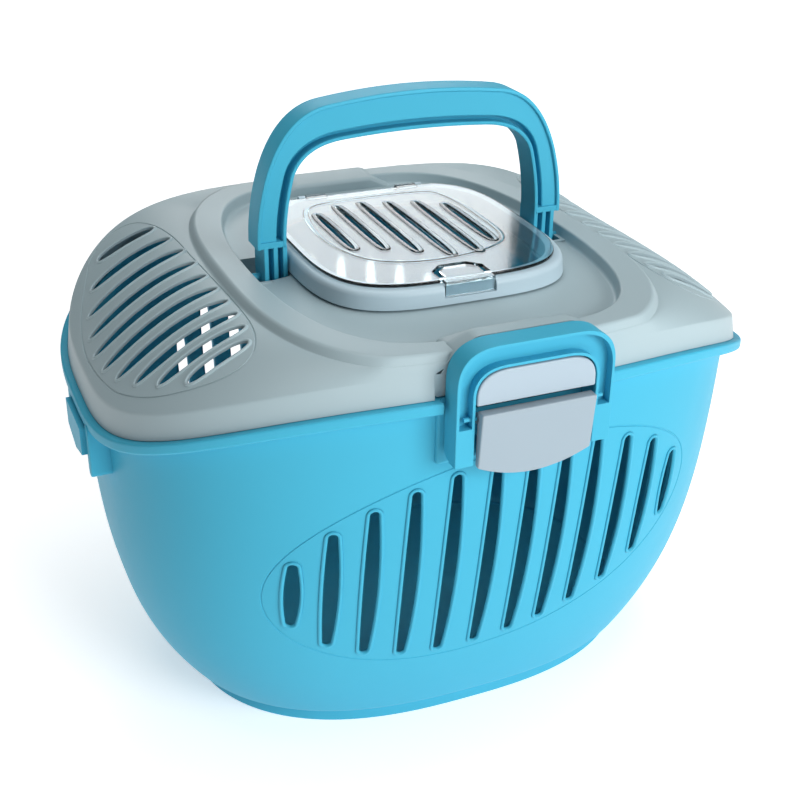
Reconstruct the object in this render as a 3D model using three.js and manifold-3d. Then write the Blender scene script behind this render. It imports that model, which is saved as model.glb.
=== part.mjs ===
// Small animal carrier: an oval plastic tub, a lid whose rim is arched, a carrying handle,
// a clear hatch over the lid's opening, and a clasp at the front and at the back.
// Millimetres, +Z up. X runs along the carrier, -Y is the front. The origin is on the
// ground under the middle.
import * as THREE from "three";
import { mergeVertices } from "three/addons/utils/BufferGeometryUtils.js";
import Module from "manifold-3d";

const wasm = await Module();
wasm.setup();

// Fits shared by the whole carrier
const seatGap = 0.3;
const pinClearance = 0.3;
const overrun = 20;

// How finely round forms are stepped
const ringSides = 44;
const arcSteps = 2;
const pinSides = 12;
const searchSteps = 40;

// The oval line where lid and tub meet, which dips towards both ends. What stands on it or
// hangs from it is given as a rise, a drop or an inset from it.
const rimHalfLength = 181;
const rimHalfWidth = 139.4;
const rimCurveShares = [2.2, 2.7];
const rimHeight = 219;
const rimDip = 39.5;
const rimDipShare = 3.3;
const rimEndHeight = rimHeight - rimDip;

// Tub wall, from the floor's outline to the outline under the lip
const tubWall = 2.5;
const tubBottom = 8.5;
const tubTopDrop = 3;
const tubTop = rimHeight - tubTopDrop;
const tubCorner = 5;
const tubTopLengthInset = 5;
const tubTopWidthInset = 3.4;
const floorLengthInset = 48;
const floorWidthInset = 42.4;
const floorHalfLength = rimHalfLength - floorLengthInset;
const floorHalfWidth = rimHalfWidth - floorWidthInset;
const lengthFlare = floorLengthInset - tubTopLengthInset;
const widthFlare = floorWidthInset - tubTopWidthInset;
const flareShares = [4.5, 2.4];
const floorCurveShares = [2.7, 2.9];
const tubRingShares = [0.09, 0.27, 0.56, 1];
const tubInnerShares = [0.12, 0.42, 1];

// Foot under the tub and the recess inside it
const footLengthInset = 4;
const footWidthInset = 7;
const footWidth = 8;
const footRecess = 5;

// Lip round the tub's rim, and the tongue that holds the lid sideways
const lipReach = 4;
const lipHeight = 5.5;
const lipUndercut = 3;
const tongueHeight = 6;
const tongueInset = 1;

// Grille slots in the tub's front and back, inside a tilted ellipse
const grilleSlots = 12;
const grilleLengthInset = 65.5;
const grilleHalfLength = rimHalfLength - grilleLengthInset;
const grillePitchShare = 0.18;
const grilleBendShare = 1.645;
const grilleHalfHeightShare = 0.2785;
const grilleMiddleShare = 0.5457;
const grilleTiltShare = 0.107;
const grilleSlotWidth = 11.6;
const slotEndShare = 0.7;
const beadWidth = 2;
const beadHeight = 0.9;

// Lid shell: wall, ring, moat and the opening under the hatch
const lidWall = 2.3;
const lidSideHeight = 12.7;
const lidSideGain = 1.4;
const lidDraft = 2;
const lidShoulderRise = 17;
const lidShoulder = rimHeight + lidShoulderRise;
const lidFallShare = 1.7;
const lidSlopeShares = [0.3, 0.58, 0.8];
const lidInnerShares = [0.5];
const ringRise = 4.2;
const ringTop = lidShoulder + ringRise;
const ringLengthInset = 75.8;
const ringHalfLength = rimHalfLength - ringLengthInset;
const ringWidthGain = 0.1;
const ringHalfWidth = rimHalfWidth + ringWidthGain;
const ringCurveShares = [3.3, 2.8];
const ringRamp = 3;
const ringEdgeMargin = 1.5;
const ringEndBand = 13.7;
const ringSideBand = 17.4;
const moatHalfLength = ringHalfLength - ringEndBand;
const moatHalfWidth = ringHalfWidth - ringSideBand;
const moatCurveShares = [4.1, 2.3];
const moatDepth = 7;
const moatDraft = 1;
const moatFloorRise = 3.7;
const openingLengthInset = 30.5;
const openingWidthInset = 53.7;
const openingHalfLength = moatHalfLength - openingLengthInset;
const openingHalfWidth = moatHalfWidth - openingWidthInset;
const openingFloor = ringTop - moatDepth + moatFloorRise;

// Vent slots in both ends of the lid
const ventSlots = 10;
const ventPitchShare = 0.1284;
const ventSlotWidth = 10;
const ventRingMargin = 6.8;
const ventInnerGain = 4.5;
const ventRimMargin = 9.3;
const ventBowShare = 0.17;

// Raised frame round the hatch opening
const frameBand = 8;
const frameSill = 1;
const frameHalfLength = openingHalfLength + frameBand + frameSill;
const frameHalfWidth = openingHalfWidth + frameBand + frameSill;
const frameCurveShares = [3.7, 3.5];
const frameHeight = 9.7;
const frameTop = openingFloor + frameHeight;
const frameDraft = 0.8;

// Clear hatch door with its hinge and its front tab. Slots are shares of the frame's sizes.
const doorThickness = 1.8;
const doorMargin = 4;
const doorRearInset = 8.9;
const doorRearEdge = frameHalfWidth - doorRearInset;
const doorSlotXShares = [-0.551, -0.336, -0.126, 0.084, 0.304, 0.504];
const doorSlotRearShares = [0.472, 0.594, 0.6, 0.543, 0.486, 0.366];
const doorSlotFrontShares = [-0.2, -0.266, -0.388, -0.521, -0.528, -0.37];
const doorSlotWidth = 5.2;
const doorBeadWidth = 1.6;
const doorBeadHeight = 0.6;
const hingeInset = 5.8;
const hingeY = frameHalfWidth - hingeInset;
const hingePinRadius = 1.1;
const hingeBarrelRadius = 2.4;
const hingeBarrelLength = 12;
const hingeBarrelShare = 0.4;
const hingeBarrelX = frameHalfLength * hingeBarrelShare;
const hingeEarLength = 4;
const tabHalfLength = 13.5;
const tabDrop = 6;
const tabThickness = 1.6;
const tabReach = 6;

// Handle, as it stands up. Its feet stand in pockets inside the ring.
const handleHalfWidth = 8.5;
const handleRingMargin = 17.6;
const handleLegWidth = 15.9;
const handleLegOuter = ringHalfLength - handleRingMargin;
const handleLegInner = handleLegOuter - handleLegWidth;
const handlePivotDrop = 6.8;
const handlePivot = ringTop - handlePivotDrop;
const handleShoulderRise = 17.6;
const handleShoulder = handlePivot + handleShoulderRise;
const handleGripRise = 57;
const handleGripInner = handleShoulder + handleGripRise;
const handleGripThickness = 17.7;
const handleTop = handleGripInner + handleGripThickness;
const handleCornerShare = 0.649;
const handleCornerHeight = handleShoulder + handleGripRise * handleCornerShare;
const handleOuterCornerInset = 5.7;
const handleOuterTurnInset = 15.6;
const handleOuterTurnDrop = 7.7;
const handleOuterRiseInset = 37.6;
const handleOuterRiseDrop = 3.7;
const handleInnerCornerInset = 5.2;
const handleInnerTurnInset = 10.7;
const handleInnerTurnDrop = 3;
const handleInnerRiseInset = 31.7;
const handleInnerRiseDrop = 1.5;
const handleRimWidth = 2.4;
const handleFrontGroove = 8.5;
const handleBackGroove = 5.5;
const handleSill = 3.2;
const footOuterInset = 3.4;
const footOuter = handleLegOuter - footOuterInset;
const footRib = 2.4;
const footGroove = 6;
const handlePinRadius = 2.2;

// Pockets in the lid that take the handle's feet
const pocketInnerMargin = 0.8;
const pocketOuterMargin = 1;
const pocketInner = handleLegInner - pocketInnerMargin;
const pocketOuter = handleLegOuter + pocketOuterMargin;
const pocketFrontMargin = 1.5;
const pocketRearMargin = 16;
const pocketFloorMargin = 2.4;
const pocketFloor = handlePivot - handleHalfWidth - pocketFloorMargin;
const pocketWall = 2.2;

// Clasp: the seat on the tub, the recess and boss on the lid
const claspHalfWidth = 40.5;
const claspClearance = 2.6;
const claspSeatInset = 3.4;
const claspSeat = rimHalfWidth - claspSeatInset;
const claspPadDrop = 35;
const claspPadMargin = 3.2;
const recessInset = 1.2;
const recessBack = claspSeat - recessInset;
const bossWall = 2.3;
const bossRise = 6.3;
const bossTop = ringTop + bossRise;
const bossTopInset = 16;
const bossTopHalfLength = claspHalfWidth - bossTopInset;
const bossShoulderDrop = 6.5;
const bossShoulderInset = 4.5;
const bossShoulderHalfLength = claspHalfWidth - bossShoulderInset;
const bossFootRise = 7;
const bossTopDepth = 8.8;
const bossDepth = 18.8;
const catchReach = 2.8;
const catchRise = 13.6;
const catchHeight = 4;
const catchInset = 24.5;
const catchHalfLength = claspHalfWidth - catchInset;

// Clasp bail, a hoop with a deep groove round its face and round heels
const bailReach = 13;
const bailFront = claspSeat + bailReach;
const bailRear = claspSeat + seatGap;
const bailLegWidth = 9.5;
const bailInner = claspHalfWidth - bailLegWidth;
const bailProud = 0.5;
const bailTop = bossTop + bailProud;
const bailBarHeight = 11.5;
const bailShoulderDrop = 19;
const bailShoulder = bailTop - bailShoulderDrop;
const bailTopInset = 20.5;
const bailTopHalfLength = claspHalfWidth - bailTopInset;
const bailRimWidth = 1.5;
const bailGrooveDepth = 5;
const bailGrooveDrop = 11.5;
const bailPivotReach = 6;
const bailPivotY = claspSeat + bailPivotReach;
const bailPivotDrop = 24.5;
const bailPivotZ = rimHeight - bailPivotDrop;
const bailHeelRadius = bailPivotReach - seatGap;
const bailToeDrop = 6.5;
const bailPinRadius = 2;
const bailPinOverlap = 6;
const earThickness = 4;
const earRadius = 4.5;
const earMargin = 1.2;

// Gray insert in the bail's window and the lever below it
const insertProud = 0.3;
const insertThickness = 6;
const insertDrop = 0.6;
const insertMargin = 1.2;
const leverDrop = 3.5;
const leverTop = rimHeight - leverDrop;
const leverEndGap = 1.5;
const leverHalfLength = bailInner - leverEndGap;
const leverEndDrop = 28.5;
const leverMiddleDrop = 35.9;
const leverTopProud = 4.4;
const leverBottomProud = 1.2;
const leverTopDepth = 6;
const leverBottomDepth = 2.6;
const leverWall = 2.2;
const leverPivotInset = 2.4;
const leverPivotY = bailFront - leverPivotInset;
const leverPivotDrop = 4;
const leverPivotZ = leverTop - leverPivotDrop;
const leverBarrelRadius = 2.6;
const leverPinRadius = 1.1;
const leverPinInset = 3.5;
const leverPinOverlap = 5;

// Clip plates at the ends of the tub, and the ribs beside them
const clipHalfWidth = 19;
const clipDrop = 6.5;
const clipHeight = 20;
const clipTop = rimEndHeight - clipDrop;
const clipBottom = clipTop - clipHeight;
const clipThickness = 3;
const clipReach = 2.6;
const clipRibWidth = 7;
const clipRibDrop = 32.5;
const clipRibDepth = 14;
const clipStemWidth = 5;

// Colours and finishes
const blue = 0x42b4da;
const gray = 0xaabac0;
const clear = 0xdfe9ee;
const plastic = (color, roughness) => new THREE.MeshStandardMaterial({ color, roughness, metalness: 0 });
const blueShell = plastic(blue, 0.42);
const grayShell = plastic(gray, 0.45);
const steel = new THREE.MeshStandardMaterial({ color: 0xc8ccd0, roughness: 0.3, metalness: 1 });
const clearSheet = new THREE.MeshStandardMaterial({
  color: clear, roughness: 0.08, metalness: 0, transparent: true, opacity: 0.35,
});

// Solids and meshes
function solidOf(geometry) {
  const bare = geometry.clone();
  bare.deleteAttribute("normal");
  bare.deleteAttribute("uv");
  const merged = mergeVertices(bare);
  const vertProperties = new Float32Array(merged.attributes.position.array);
  const triVerts = new Uint32Array(merged.index.array);
  return new wasm.Manifold(new wasm.Mesh({ numProp: 3, vertProperties, triVerts }));
}

function geometryOf(solid) {
  const mesh = solid.getMesh();
  const geometry = new THREE.BufferGeometry();
  geometry.setAttribute("position", new THREE.BufferAttribute(new Float32Array(mesh.vertProperties), 3));
  geometry.setIndex(new THREE.BufferAttribute(new Uint32Array(mesh.triVerts), 1));
  return geometry;
}

function piece(name, solid, material) {
  const geometry = geometryOf(solid);
  const flat = geometry.toNonIndexed();
  flat.computeVertexNormals();
  const mesh = new THREE.Mesh(flat, material.clone());
  mesh.name = name;
  return mesh;
}

const join = (solids) => solids.reduce((sum, solid) => sum.add(solid));
const cut = (solid, tools) => tools.reduce((rest, tool) => rest.subtract(tool), solid);

// Turns a solid half round the upright axis, from the front to the back
const turned = (solid) => solid.rotate([0, 0, 180]);

// An oval outline: its reach along a direction, with one curve share for its ends and one for its sides
const oval = (halfLength, halfWidth, shares) => ({ halfLength, halfWidth, shares });
const grown = (shape, by) => oval(shape.halfLength + by, shape.halfWidth + by, shape.shares);

function reach(shape, angle) {
  const alongShare = Math.abs(Math.cos(angle)) / shape.halfLength;
  const acrossShare = Math.abs(Math.sin(angle)) / shape.halfWidth;
  let inside = 0;
  let outside = shape.halfLength + shape.halfWidth;
  for (let step = 0; step < searchSteps; step += 1) {
    const middle = (inside + outside) / 2;
    const level = (middle * alongShare) ** shape.shares[0] + (middle * acrossShare) ** shape.shares[1];
    if (level < 1) {
      inside = middle;
    } else {
      outside = middle;
    }
  }
  return inside;
}

// A ring of points from its reach and height in each direction
function ring(reachAt, heightAt) {
  const points = [];
  for (let side = 0; side < ringSides; side += 1) {
    const angle = (side / ringSides) * Math.PI * 2;
    const out = reachAt(angle);
    points.push(new THREE.Vector3(out * Math.cos(angle), out * Math.sin(angle), heightAt(angle)));
  }
  return points;
}

const levelRing = (shape, height) => ring((angle) => reach(shape, angle), () => height);

// Skins a list of rings into a closed geometry, capped at both ends or joined end to start
function skin(rings, closesOnItself) {
  const positions = rings.flat().flatMap((point) => [point.x, point.y, point.z]);
  const index = [];
  const spans = closesOnItself ? rings.length : rings.length - 1;
  for (let row = 0; row < spans; row += 1) {
    const here = row * ringSides;
    const next = ((row + 1) % rings.length) * ringSides;
    for (let side = 0; side < ringSides; side += 1) {
      const after = (side + 1) % ringSides;
      index.push(here + side, here + after, next + after);
      index.push(here + side, next + after, next + side);
    }
  }
  if (!closesOnItself) {
    const last = (rings.length - 1) * ringSides;
    const startCentre = positions.length / 3;
    positions.push(0, 0, rings[0][0].z, 0, 0, rings[rings.length - 1][0].z);
    for (let side = 0; side < ringSides; side += 1) {
      const after = (side + 1) % ringSides;
      index.push(startCentre, after, side);
      index.push(startCentre + 1, last + side, last + after);
    }
  }
  const geometry = new THREE.BufferGeometry();
  geometry.setAttribute("position", new THREE.Float32BufferAttribute(positions, 3));
  geometry.setIndex(index);
  return solidOf(geometry);
}

// Prisms along the three directions, each from an outline and the span it covers
const upright = new THREE.Matrix4();
const acrossDepth = new THREE.Matrix4().makeBasis(
  new THREE.Vector3(1, 0, 0), new THREE.Vector3(0, 0, 1), new THREE.Vector3(0, -1, 0),
);
const alongLength = new THREE.Matrix4().makeBasis(
  new THREE.Vector3(0, 1, 0), new THREE.Vector3(0, 0, 1), new THREE.Vector3(1, 0, 0),
);

function prism(outline, from, to, turn) {
  const settings = { depth: to - from, bevelEnabled: false, curveSegments: arcSteps };
  const geometry = new THREE.ExtrudeGeometry(outline, settings);
  geometry.translate(0, 0, from);
  geometry.applyMatrix4(turn);
  return solidOf(geometry);
}

const slab = (outline, low, high) => prism(outline, low, high, upright);
const frontPrism = (outline, near, far) => prism(outline, near, far, acrossDepth);
const sidePrism = (outline, left, right) => prism(outline, left, right, alongLength);

function block(left, right, front, back, low, high) {
  const geometry = new THREE.BoxGeometry(right - left, back - front, high - low);
  geometry.translate((left + right) / 2, (front + back) / 2, (low + high) / 2);
  return solidOf(geometry);
}

// A round bar along X
function bar(radius, left, right, y, z) {
  const geometry = new THREE.CylinderGeometry(radius, radius, right - left, pinSides);
  geometry.rotateZ(-Math.PI / 2);
  geometry.translate((left + right) / 2, y, z);
  return solidOf(geometry);
}

function polygon(points) {
  return new THREE.Shape(points.map(([across, up]) => new THREE.Vector2(across, up)));
}

// A slot with round ends, upright in its own plane
function slotOutline(middle, low, high, width) {
  const radius = width / 2;
  const shape = new THREE.Shape();
  shape.absarc(middle, high - radius, radius, 0, Math.PI, false);
  shape.absarc(middle, low + radius, radius, Math.PI, Math.PI * 2, false);
  return shape;
}

// The corners of a slot that is widest half way and narrows to both ends
function leafCorners(middle, low, high, width) {
  const half = width / 2;
  const end = half * slotEndShare;
  const waist = (low + high) / 2;
  return [
    [middle + end, high - end], [middle, high], [middle - end, high - end], [middle - half, waist],
    [middle - end, low + end], [middle, low], [middle + end, low + end], [middle + half, waist],
  ];
}

const leafSlot = (middle, low, high, width) => polygon(leafCorners(middle, low, high, width));

// The same slot lying along X
const lyingLeafSlot = (left, right, middle, width) => polygon(
  leafCorners(middle, left, right, width).map(([across, along]) => [along, across]),
);

const ovalOutline = (shape) => new THREE.Shape(
  levelRing(shape, 0).map((point) => new THREE.Vector2(point.x, point.y)),
);

// The rim line and the tub's outline at a height
const rimOval = oval(rimHalfLength, rimHalfWidth, rimCurveShares);

function dipShareAt(angle) {
  const along = Math.abs(reach(rimOval, angle) * Math.cos(angle));
  return (along / rimHalfLength) ** rimDipShare;
}

const rimHeightAt = (angle) => rimHeight - rimDip * dipShareAt(angle);

function tubOvalAt(height) {
  const rise = Math.min(1, Math.max(0, (height - tubBottom) / (tubTop - tubBottom)));
  const halfLength = floorHalfLength + lengthFlare * (1 - (1 - rise) ** flareShares[0]);
  const halfWidth = floorHalfWidth + widthFlare * (1 - (1 - rise) ** flareShares[1]);
  const shares = floorCurveShares.map((share, side) => share + (rimCurveShares[side] - share) * rise);
  return oval(halfLength, halfWidth, shares);
}

// One ring of the tub's wall, part way from its bottom up to the lip
function tubRing(share, inset, bottom) {
  const heightAt = (angle) => bottom + (rimHeightAt(angle) - lipHeight - lipUndercut - bottom) * share;
  return ring((angle) => reach(tubOvalAt(heightAt(angle)), angle) - inset, heightAt);
}

function cornerRings(bottom, inset) {
  return [0, 1, 2].map((step) => {
    const angle = (step / 2) * (Math.PI / 2);
    const height = bottom + tubCorner * (1 - Math.cos(angle));
    return levelRing(grown(tubOvalAt(height), -inset - tubCorner * (1 - Math.sin(angle))), height);
  });
}

const underLip = (angle) => rimHeightAt(angle) - lipHeight;
const tubReachAtRim = (angle) => reach(tubOvalAt(rimHeightAt(angle)), angle);

function tubOutside(extra) {
  return [
    ...cornerRings(tubBottom, -extra),
    ...tubRingShares.map((share) => tubRing(share, -extra, tubBottom + tubCorner)),
  ];
}

// Tub: foot, wall, lip and tongue outside, then down the inside to the floor
function tubShell() {
  const foot = oval(floorHalfLength - footLengthInset, floorHalfWidth - footWidthInset, floorCurveShares);
  const lip = grown(rimOval, lipReach);
  const tongueTop = (angle) => rimHeightAt(angle) + tongueHeight;
  const wallFoot = tubBottom + tubCorner;
  const inside = [...tubInnerShares].reverse().map((share) => tubRing(share, tubWall, wallFoot));
  const floorTop = footRecess + tubWall;
  return skin([
    levelRing(grown(foot, -footWidth), footRecess),
    levelRing(grown(foot, -footWidth), 0),
    levelRing(foot, 0),
    levelRing(foot, tubBottom - seatGap),
    ...tubOutside(0),
    ring((angle) => reach(lip, angle), underLip),
    ring((angle) => reach(lip, angle), rimHeightAt),
    ring((angle) => tubReachAtRim(angle) - tongueInset, rimHeightAt),
    ring((angle) => tubReachAtRim(angle) - tongueInset, tongueTop),
    ring((angle) => tubReachAtRim(angle) - tubWall, tongueTop),
    ...inside,
    levelRing(grown(tubOvalAt(tubBottom), -tubWall - tubCorner / 2), floorTop + tubCorner / 2),
    levelRing(grown(tubOvalAt(tubBottom), -tubWall - tubCorner), floorTop),
  ], false);
}

// The grille: slots inside a tilted ellipse, each with a raised bead
function grilleSlot(number, margin) {
  const turn = ((number - (grilleSlots - 1) / 2) * grillePitchShare) / grilleBendShare;
  const share = grilleBendShare * Math.sin(turn);
  const x = grilleHalfLength * share;
  const half = rimHeight * grilleHalfHeightShare * Math.sqrt(1 - share ** 2) + margin;
  const middle = rimHeight * grilleMiddleShare + grilleTiltShare * x;
  return leafSlot(x, middle - half, middle + half, grilleSlotWidth + margin * 2);
}

function grillePrisms(margin) {
  const numbers = Array.from({ length: grilleSlots }, (_, number) => number);
  const prisms = numbers.map((number) => frontPrism(grilleSlot(number, margin), 0, rimHalfWidth + overrun));
  return join(prisms);
}

function frontBeads() {
  const outer = skin(tubOutside(beadHeight), false);
  const inner = skin(tubOutside(-tubWall / 2), false);
  return grillePrisms(beadWidth).intersect(outer.subtract(inner));
}

// The flat seat behind the bail, with two ears for its pins
function claspSeatSolid() {
  const halfLength = claspHalfWidth + claspPadMargin;
  const padBack = -claspSeat + tubWall * 2;
  const padLow = rimHeight - claspPadDrop;
  const pad = block(-halfLength, halfLength, -claspSeat, padBack, padLow, rimHeight - lipHeight);
  const ears = [-1, 1].map((side) => {
    const outer = bailInner - earMargin;
    const inner = outer - earThickness;
    const left = side < 0 ? -outer : inner;
    const right = side < 0 ? -inner : outer;
    const low = bailPivotZ - earRadius;
    const high = bailPivotZ + earRadius;
    const arm = block(left, right, -bailPivotY, -claspSeat + tubWall, low, high);
    return join([bar(earRadius, left, right, -bailPivotY, bailPivotZ), arm]);
  });
  return join([pad, ...ears]);
}

const pinBore = (radius, halfLength, y, z) => bar(radius + pinClearance, -halfLength, halfLength, -y, z);

// Ribs on both sides of an end clip
function clipSeat() {
  const tip = rimHalfLength + lipReach;
  const bottom = rimEndHeight - clipRibDrop;
  const top = rimEndHeight - lipHeight / 2;
  const middle = clipHalfWidth + seatGap + clipRibWidth / 2;
  const ribs = [-1, 1].map((side) => sidePrism(
    slotOutline(side * middle, bottom, top, clipRibWidth), tip - clipRibDepth, tip,
  ));
  return join(ribs);
}

function baseTub() {
  const seat = claspSeatSolid();
  const notchHalf = claspHalfWidth + claspClearance;
  const front = -rimHalfWidth - overrun;
  const above = rimHeight + overrun;
  const lipNotch = block(-notchHalf, notchHalf, front, -claspSeat, rimHeight - lipHeight - overrun, above);
  const tongueHalf = notchHalf + bossWall + tongueInset;
  const tongueNotch = block(-tongueHalf, tongueHalf, front, -claspSeat / 2, rimHeight, above);
  const shell = tubShell();
  const bores = pinBore(bailPinRadius, claspHalfWidth, bailPivotY, bailPivotZ);
  const slots = grillePrisms(0);
  const beads = frontBeads();
  const inside = skin(tubOutside(-tubWall), false);
  const clips = clipSeat().subtract(inside);
  const plain = join([shell, clips, turned(clips)]);
  const tools = [lipNotch, tongueNotch];
  const notched = cut(plain, [...tools, ...tools.map(turned)]);
  const fitted = join([notched, seat, turned(seat), beads, turned(beads)]);
  return cut(fitted, [slots, turned(slots), bores, turned(bores)]);
}

// Lid surface, from the opening's edge out over the moat, the ring and the sloped ends to the seam
const lidEdge = grown(rimOval, -lidDraft);
const creaseAt = (angle) => rimHeightAt(angle) + lidSideHeight + lidSideGain * dipShareAt(angle);
const ringOval = oval(ringHalfLength, ringHalfWidth, ringCurveShares);
const moatOval = oval(moatHalfLength, moatHalfWidth, moatCurveShares);
const openingOval = oval(openingHalfLength, openingHalfWidth, frameCurveShares);
const ringReach = (angle) => Math.min(reach(ringOval, angle), reach(lidEdge, angle) - ringEdgeMargin * 2);
const ringFootReach = (angle) => Math.min(
  reach(ringOval, angle) + ringRamp, reach(lidEdge, angle) - ringEdgeMargin,
);

function slopeRing(share, sink) {
  const reachAt = (angle) => {
    const foot = ringFootReach(angle);
    return foot + (reach(lidEdge, angle) - foot) * share;
  };
  const heightAt = (angle) => lidShoulder - (lidShoulder - creaseAt(angle)) * share ** lidFallShare - sink;
  return ring(reachAt, heightAt);
}

function lidTopRings(sink, slopeShares) {
  return [
    levelRing(openingOval, openingFloor - sink),
    levelRing(grown(moatOval, sink - moatDraft), ringTop - moatDepth - sink),
    levelRing(grown(moatOval, sink), ringTop - sink),
    ring((angle) => ringReach(angle) - sink, () => ringTop - sink),
    ring((angle) => ringFootReach(angle) - sink, () => lidShoulder - sink),
    ...slopeShares.map((share) => slopeRing(share, sink)),
    ring((angle) => reach(lidEdge, angle) - sink, (angle) => creaseAt(angle) - sink),
    ring((angle) => reach(rimOval, angle) - sink, (angle) => rimHeightAt(angle) + seatGap),
  ];
}

// The lid filled down to its seam, for trimming what is added to it
function lidFilled() {
  return skin(lidTopRings(0, lidSlopeShares).reverse(), false);
}

function lidShell() {
  const outside = lidTopRings(0, lidSlopeShares);
  const inside = lidTopRings(lidWall, lidInnerShares);
  return skin([...outside, ...inside.reverse()].reverse(), true);
}

function ventSlot(number) {
  const along = number - (ventSlots - 1) / 2;
  const y = along * rimHalfWidth * ventPitchShare;
  const farShare = Math.abs(along) / ((ventSlots - 1) / 2);
  const inner = ringHalfLength + ventRingMargin + ventInnerGain * farShare ** 2;
  const outer = rimHalfLength - ventRimMargin - rimHalfLength * ventBowShare * farShare ** 2;
  return slab(lyingLeafSlot(inner, outer, y, ventSlotWidth), 0, ringTop + overrun);
}

const ventPrisms = () => join(Array.from({ length: ventSlots }, (_, number) => ventSlot(number)));

function pocket() {
  const front = handleHalfWidth + pocketFrontMargin;
  const rear = handleHalfWidth + pocketRearMargin;
  const outer = block(pocketInner - pocketWall, pocketOuter + pocketWall, -front - pocketWall,
    rear + pocketWall, pocketFloor - pocketWall, ringTop);
  const inner = block(pocketInner, pocketOuter, -front, rear, pocketFloor, ringTop + overrun);
  return { outer, inner };
}

// The boss behind the bail, the recess that takes the bail and the catch lip
function bossOutline(shrink) {
  const half = claspHalfWidth + claspClearance + bossWall - shrink;
  const foot = rimHeight + bossFootRise;
  const shoulder = bossTop - bossShoulderDrop - shrink;
  const shoulderHalf = bossShoulderHalfLength - shrink;
  const topHalf = bossTopHalfLength - shrink;
  return polygon([
    [-half, rimHeight + seatGap], [half, rimHeight + seatGap], [half, foot], [shoulderHalf, shoulder],
    [topHalf, bossTop - shrink], [-topHalf, bossTop - shrink], [-shoulderHalf, shoulder], [-half, foot],
  ]);
}

function bossSide(shrink) {
  const topRear = recessBack - bossTopDepth;
  const rear = recessBack - bossDepth;
  return polygon([
    [-rimHalfWidth, rimHeight + seatGap], [-rimHalfWidth, bossTop - shrink], [-topRear, bossTop - shrink],
    [-rear, ringTop - shrink], [-rear, rimHeight + seatGap],
  ]);
}

function bossSolid(shrink) {
  const half = claspHalfWidth + overrun;
  return frontPrism(bossOutline(shrink), recessBack - bossDepth, rimHalfWidth).intersect(
    sidePrism(bossSide(shrink), -half, half),
  );
}

function recessSolid(grow) {
  const half = claspHalfWidth + claspClearance + grow;
  const front = -rimHalfWidth - overrun;
  return block(-half, half, front, -recessBack + grow, rimHeight - overrun, bossTop + overrun);
}

function catchSolid() {
  const top = rimHeight + catchRise;
  return block(-catchHalfLength, catchHalfLength, -recessBack - catchReach, -recessBack + bossWall / 2,
    top - catchHeight, top);
}

function lidSolid() {
  const filled = lidFilled();
  const hollow = lidShell();
  const { outer, inner } = pocket();
  const cups = join([outer, outer.mirror([1, 0, 0])]).intersect(filled);
  const wells = join([inner, inner.mirror([1, 0, 0])]);
  const bossFull = bossSolid(0);
  const bossCore = bossSolid(bossWall);
  const inside = skin(lidTopRings(lidWall, lidInnerShares).reverse(), false);
  const faceWall = recessSolid(bossWall);
  const bossRoom = bossCore.subtract(faceWall);
  const boss = cut(bossFull, [bossRoom, inside.subtract(faceWall)]);
  const vents = ventPrisms();
  const boreRadius = handlePinRadius + pinClearance;
  const pinHole = bar(boreRadius, pocketInner - pocketWall, pocketOuter + pocketWall, 0, handlePivot);
  const recess = recessSolid(0);
  const catchLip = catchSolid();
  const whole = join([hollow, cups, boss, turned(boss)]);
  const ends = [bossRoom, recess, vents];
  const opened = cut(whole, [...ends, ...ends.map(turned), wells]);
  const bored = cut(opened, [pinHole, pinHole.mirror([1, 0, 0])]);
  return join([bored, catchLip, turned(catchLip)]);
}

// Hatch frame on the lid, open in the middle, with ears for the hinge pins and a notch for the tab
const frameOval = oval(frameHalfLength, frameHalfWidth, frameCurveShares);
const frameFoot = openingFloor + seatGap;
const doorBottom = frameTop + seatGap;
const doorTop = doorBottom + doorThickness;
const hingeZ = doorTop - hingeBarrelRadius + seatGap;
const hingeEnd = hingeBarrelX + hingeBarrelLength / 2;

function hatchFrame() {
  const body = skin([
    levelRing(grown(frameOval, -frameBand), frameTop),
    levelRing(grown(frameOval, -frameBand), frameFoot),
    levelRing(grown(frameOval, frameDraft), frameFoot),
    levelRing(frameOval, frameTop),
  ], true);
  const troughRadius = hingeBarrelRadius + pinClearance * 2;
  const troughHalf = hingeEnd + seatGap;
  const trough = bar(troughRadius, -troughHalf, troughHalf, hingeY, hingeZ);
  const troughFront = hingeY - troughRadius;
  const troughRear = hingeY + troughRadius;
  const troughTop = block(-troughHalf, troughHalf, troughFront, troughRear, hingeZ, frameTop + overrun);
  const ears = [-1, 1].map((side) => {
    const far = troughHalf + hingeEarLength;
    const left = side < 0 ? -far : troughHalf;
    const right = side < 0 ? -troughHalf : far;
    const foot = block(left, right, hingeY - hingeBarrelRadius, hingeY + hingeBarrelRadius,
      frameTop - hingeBarrelRadius, hingeZ);
    return join([bar(hingeBarrelRadius, left, right, hingeY, hingeZ), foot]);
  });
  const notchFloor = doorBottom - tabDrop - seatGap;
  const notch = block(-tabHalfLength - seatGap * 2, tabHalfLength + seatGap * 2, -frameHalfWidth - overrun,
    -frameHalfWidth + tabThickness + seatGap, notchFloor, frameTop + overrun);
  const pin = bar(hingePinRadius + pinClearance, -hingeEnd - hingeEarLength - overrun,
    hingeEnd + hingeEarLength + overrun, hingeY, hingeZ);
  return cut(join([cut(body, [trough, troughTop, notch]), ...ears]), [pin]);
}

function doorSlot(number, margin) {
  const front = frameHalfWidth * doorSlotFrontShares[number];
  const rear = frameHalfWidth * doorSlotRearShares[number];
  const outline = slotOutline(frameHalfLength * doorSlotXShares[number], front - margin, rear + margin,
    doorSlotWidth + margin * 2);
  return slab(outline, doorBottom - overrun, doorTop + (margin > 0 ? doorBeadHeight : overrun));
}

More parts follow.
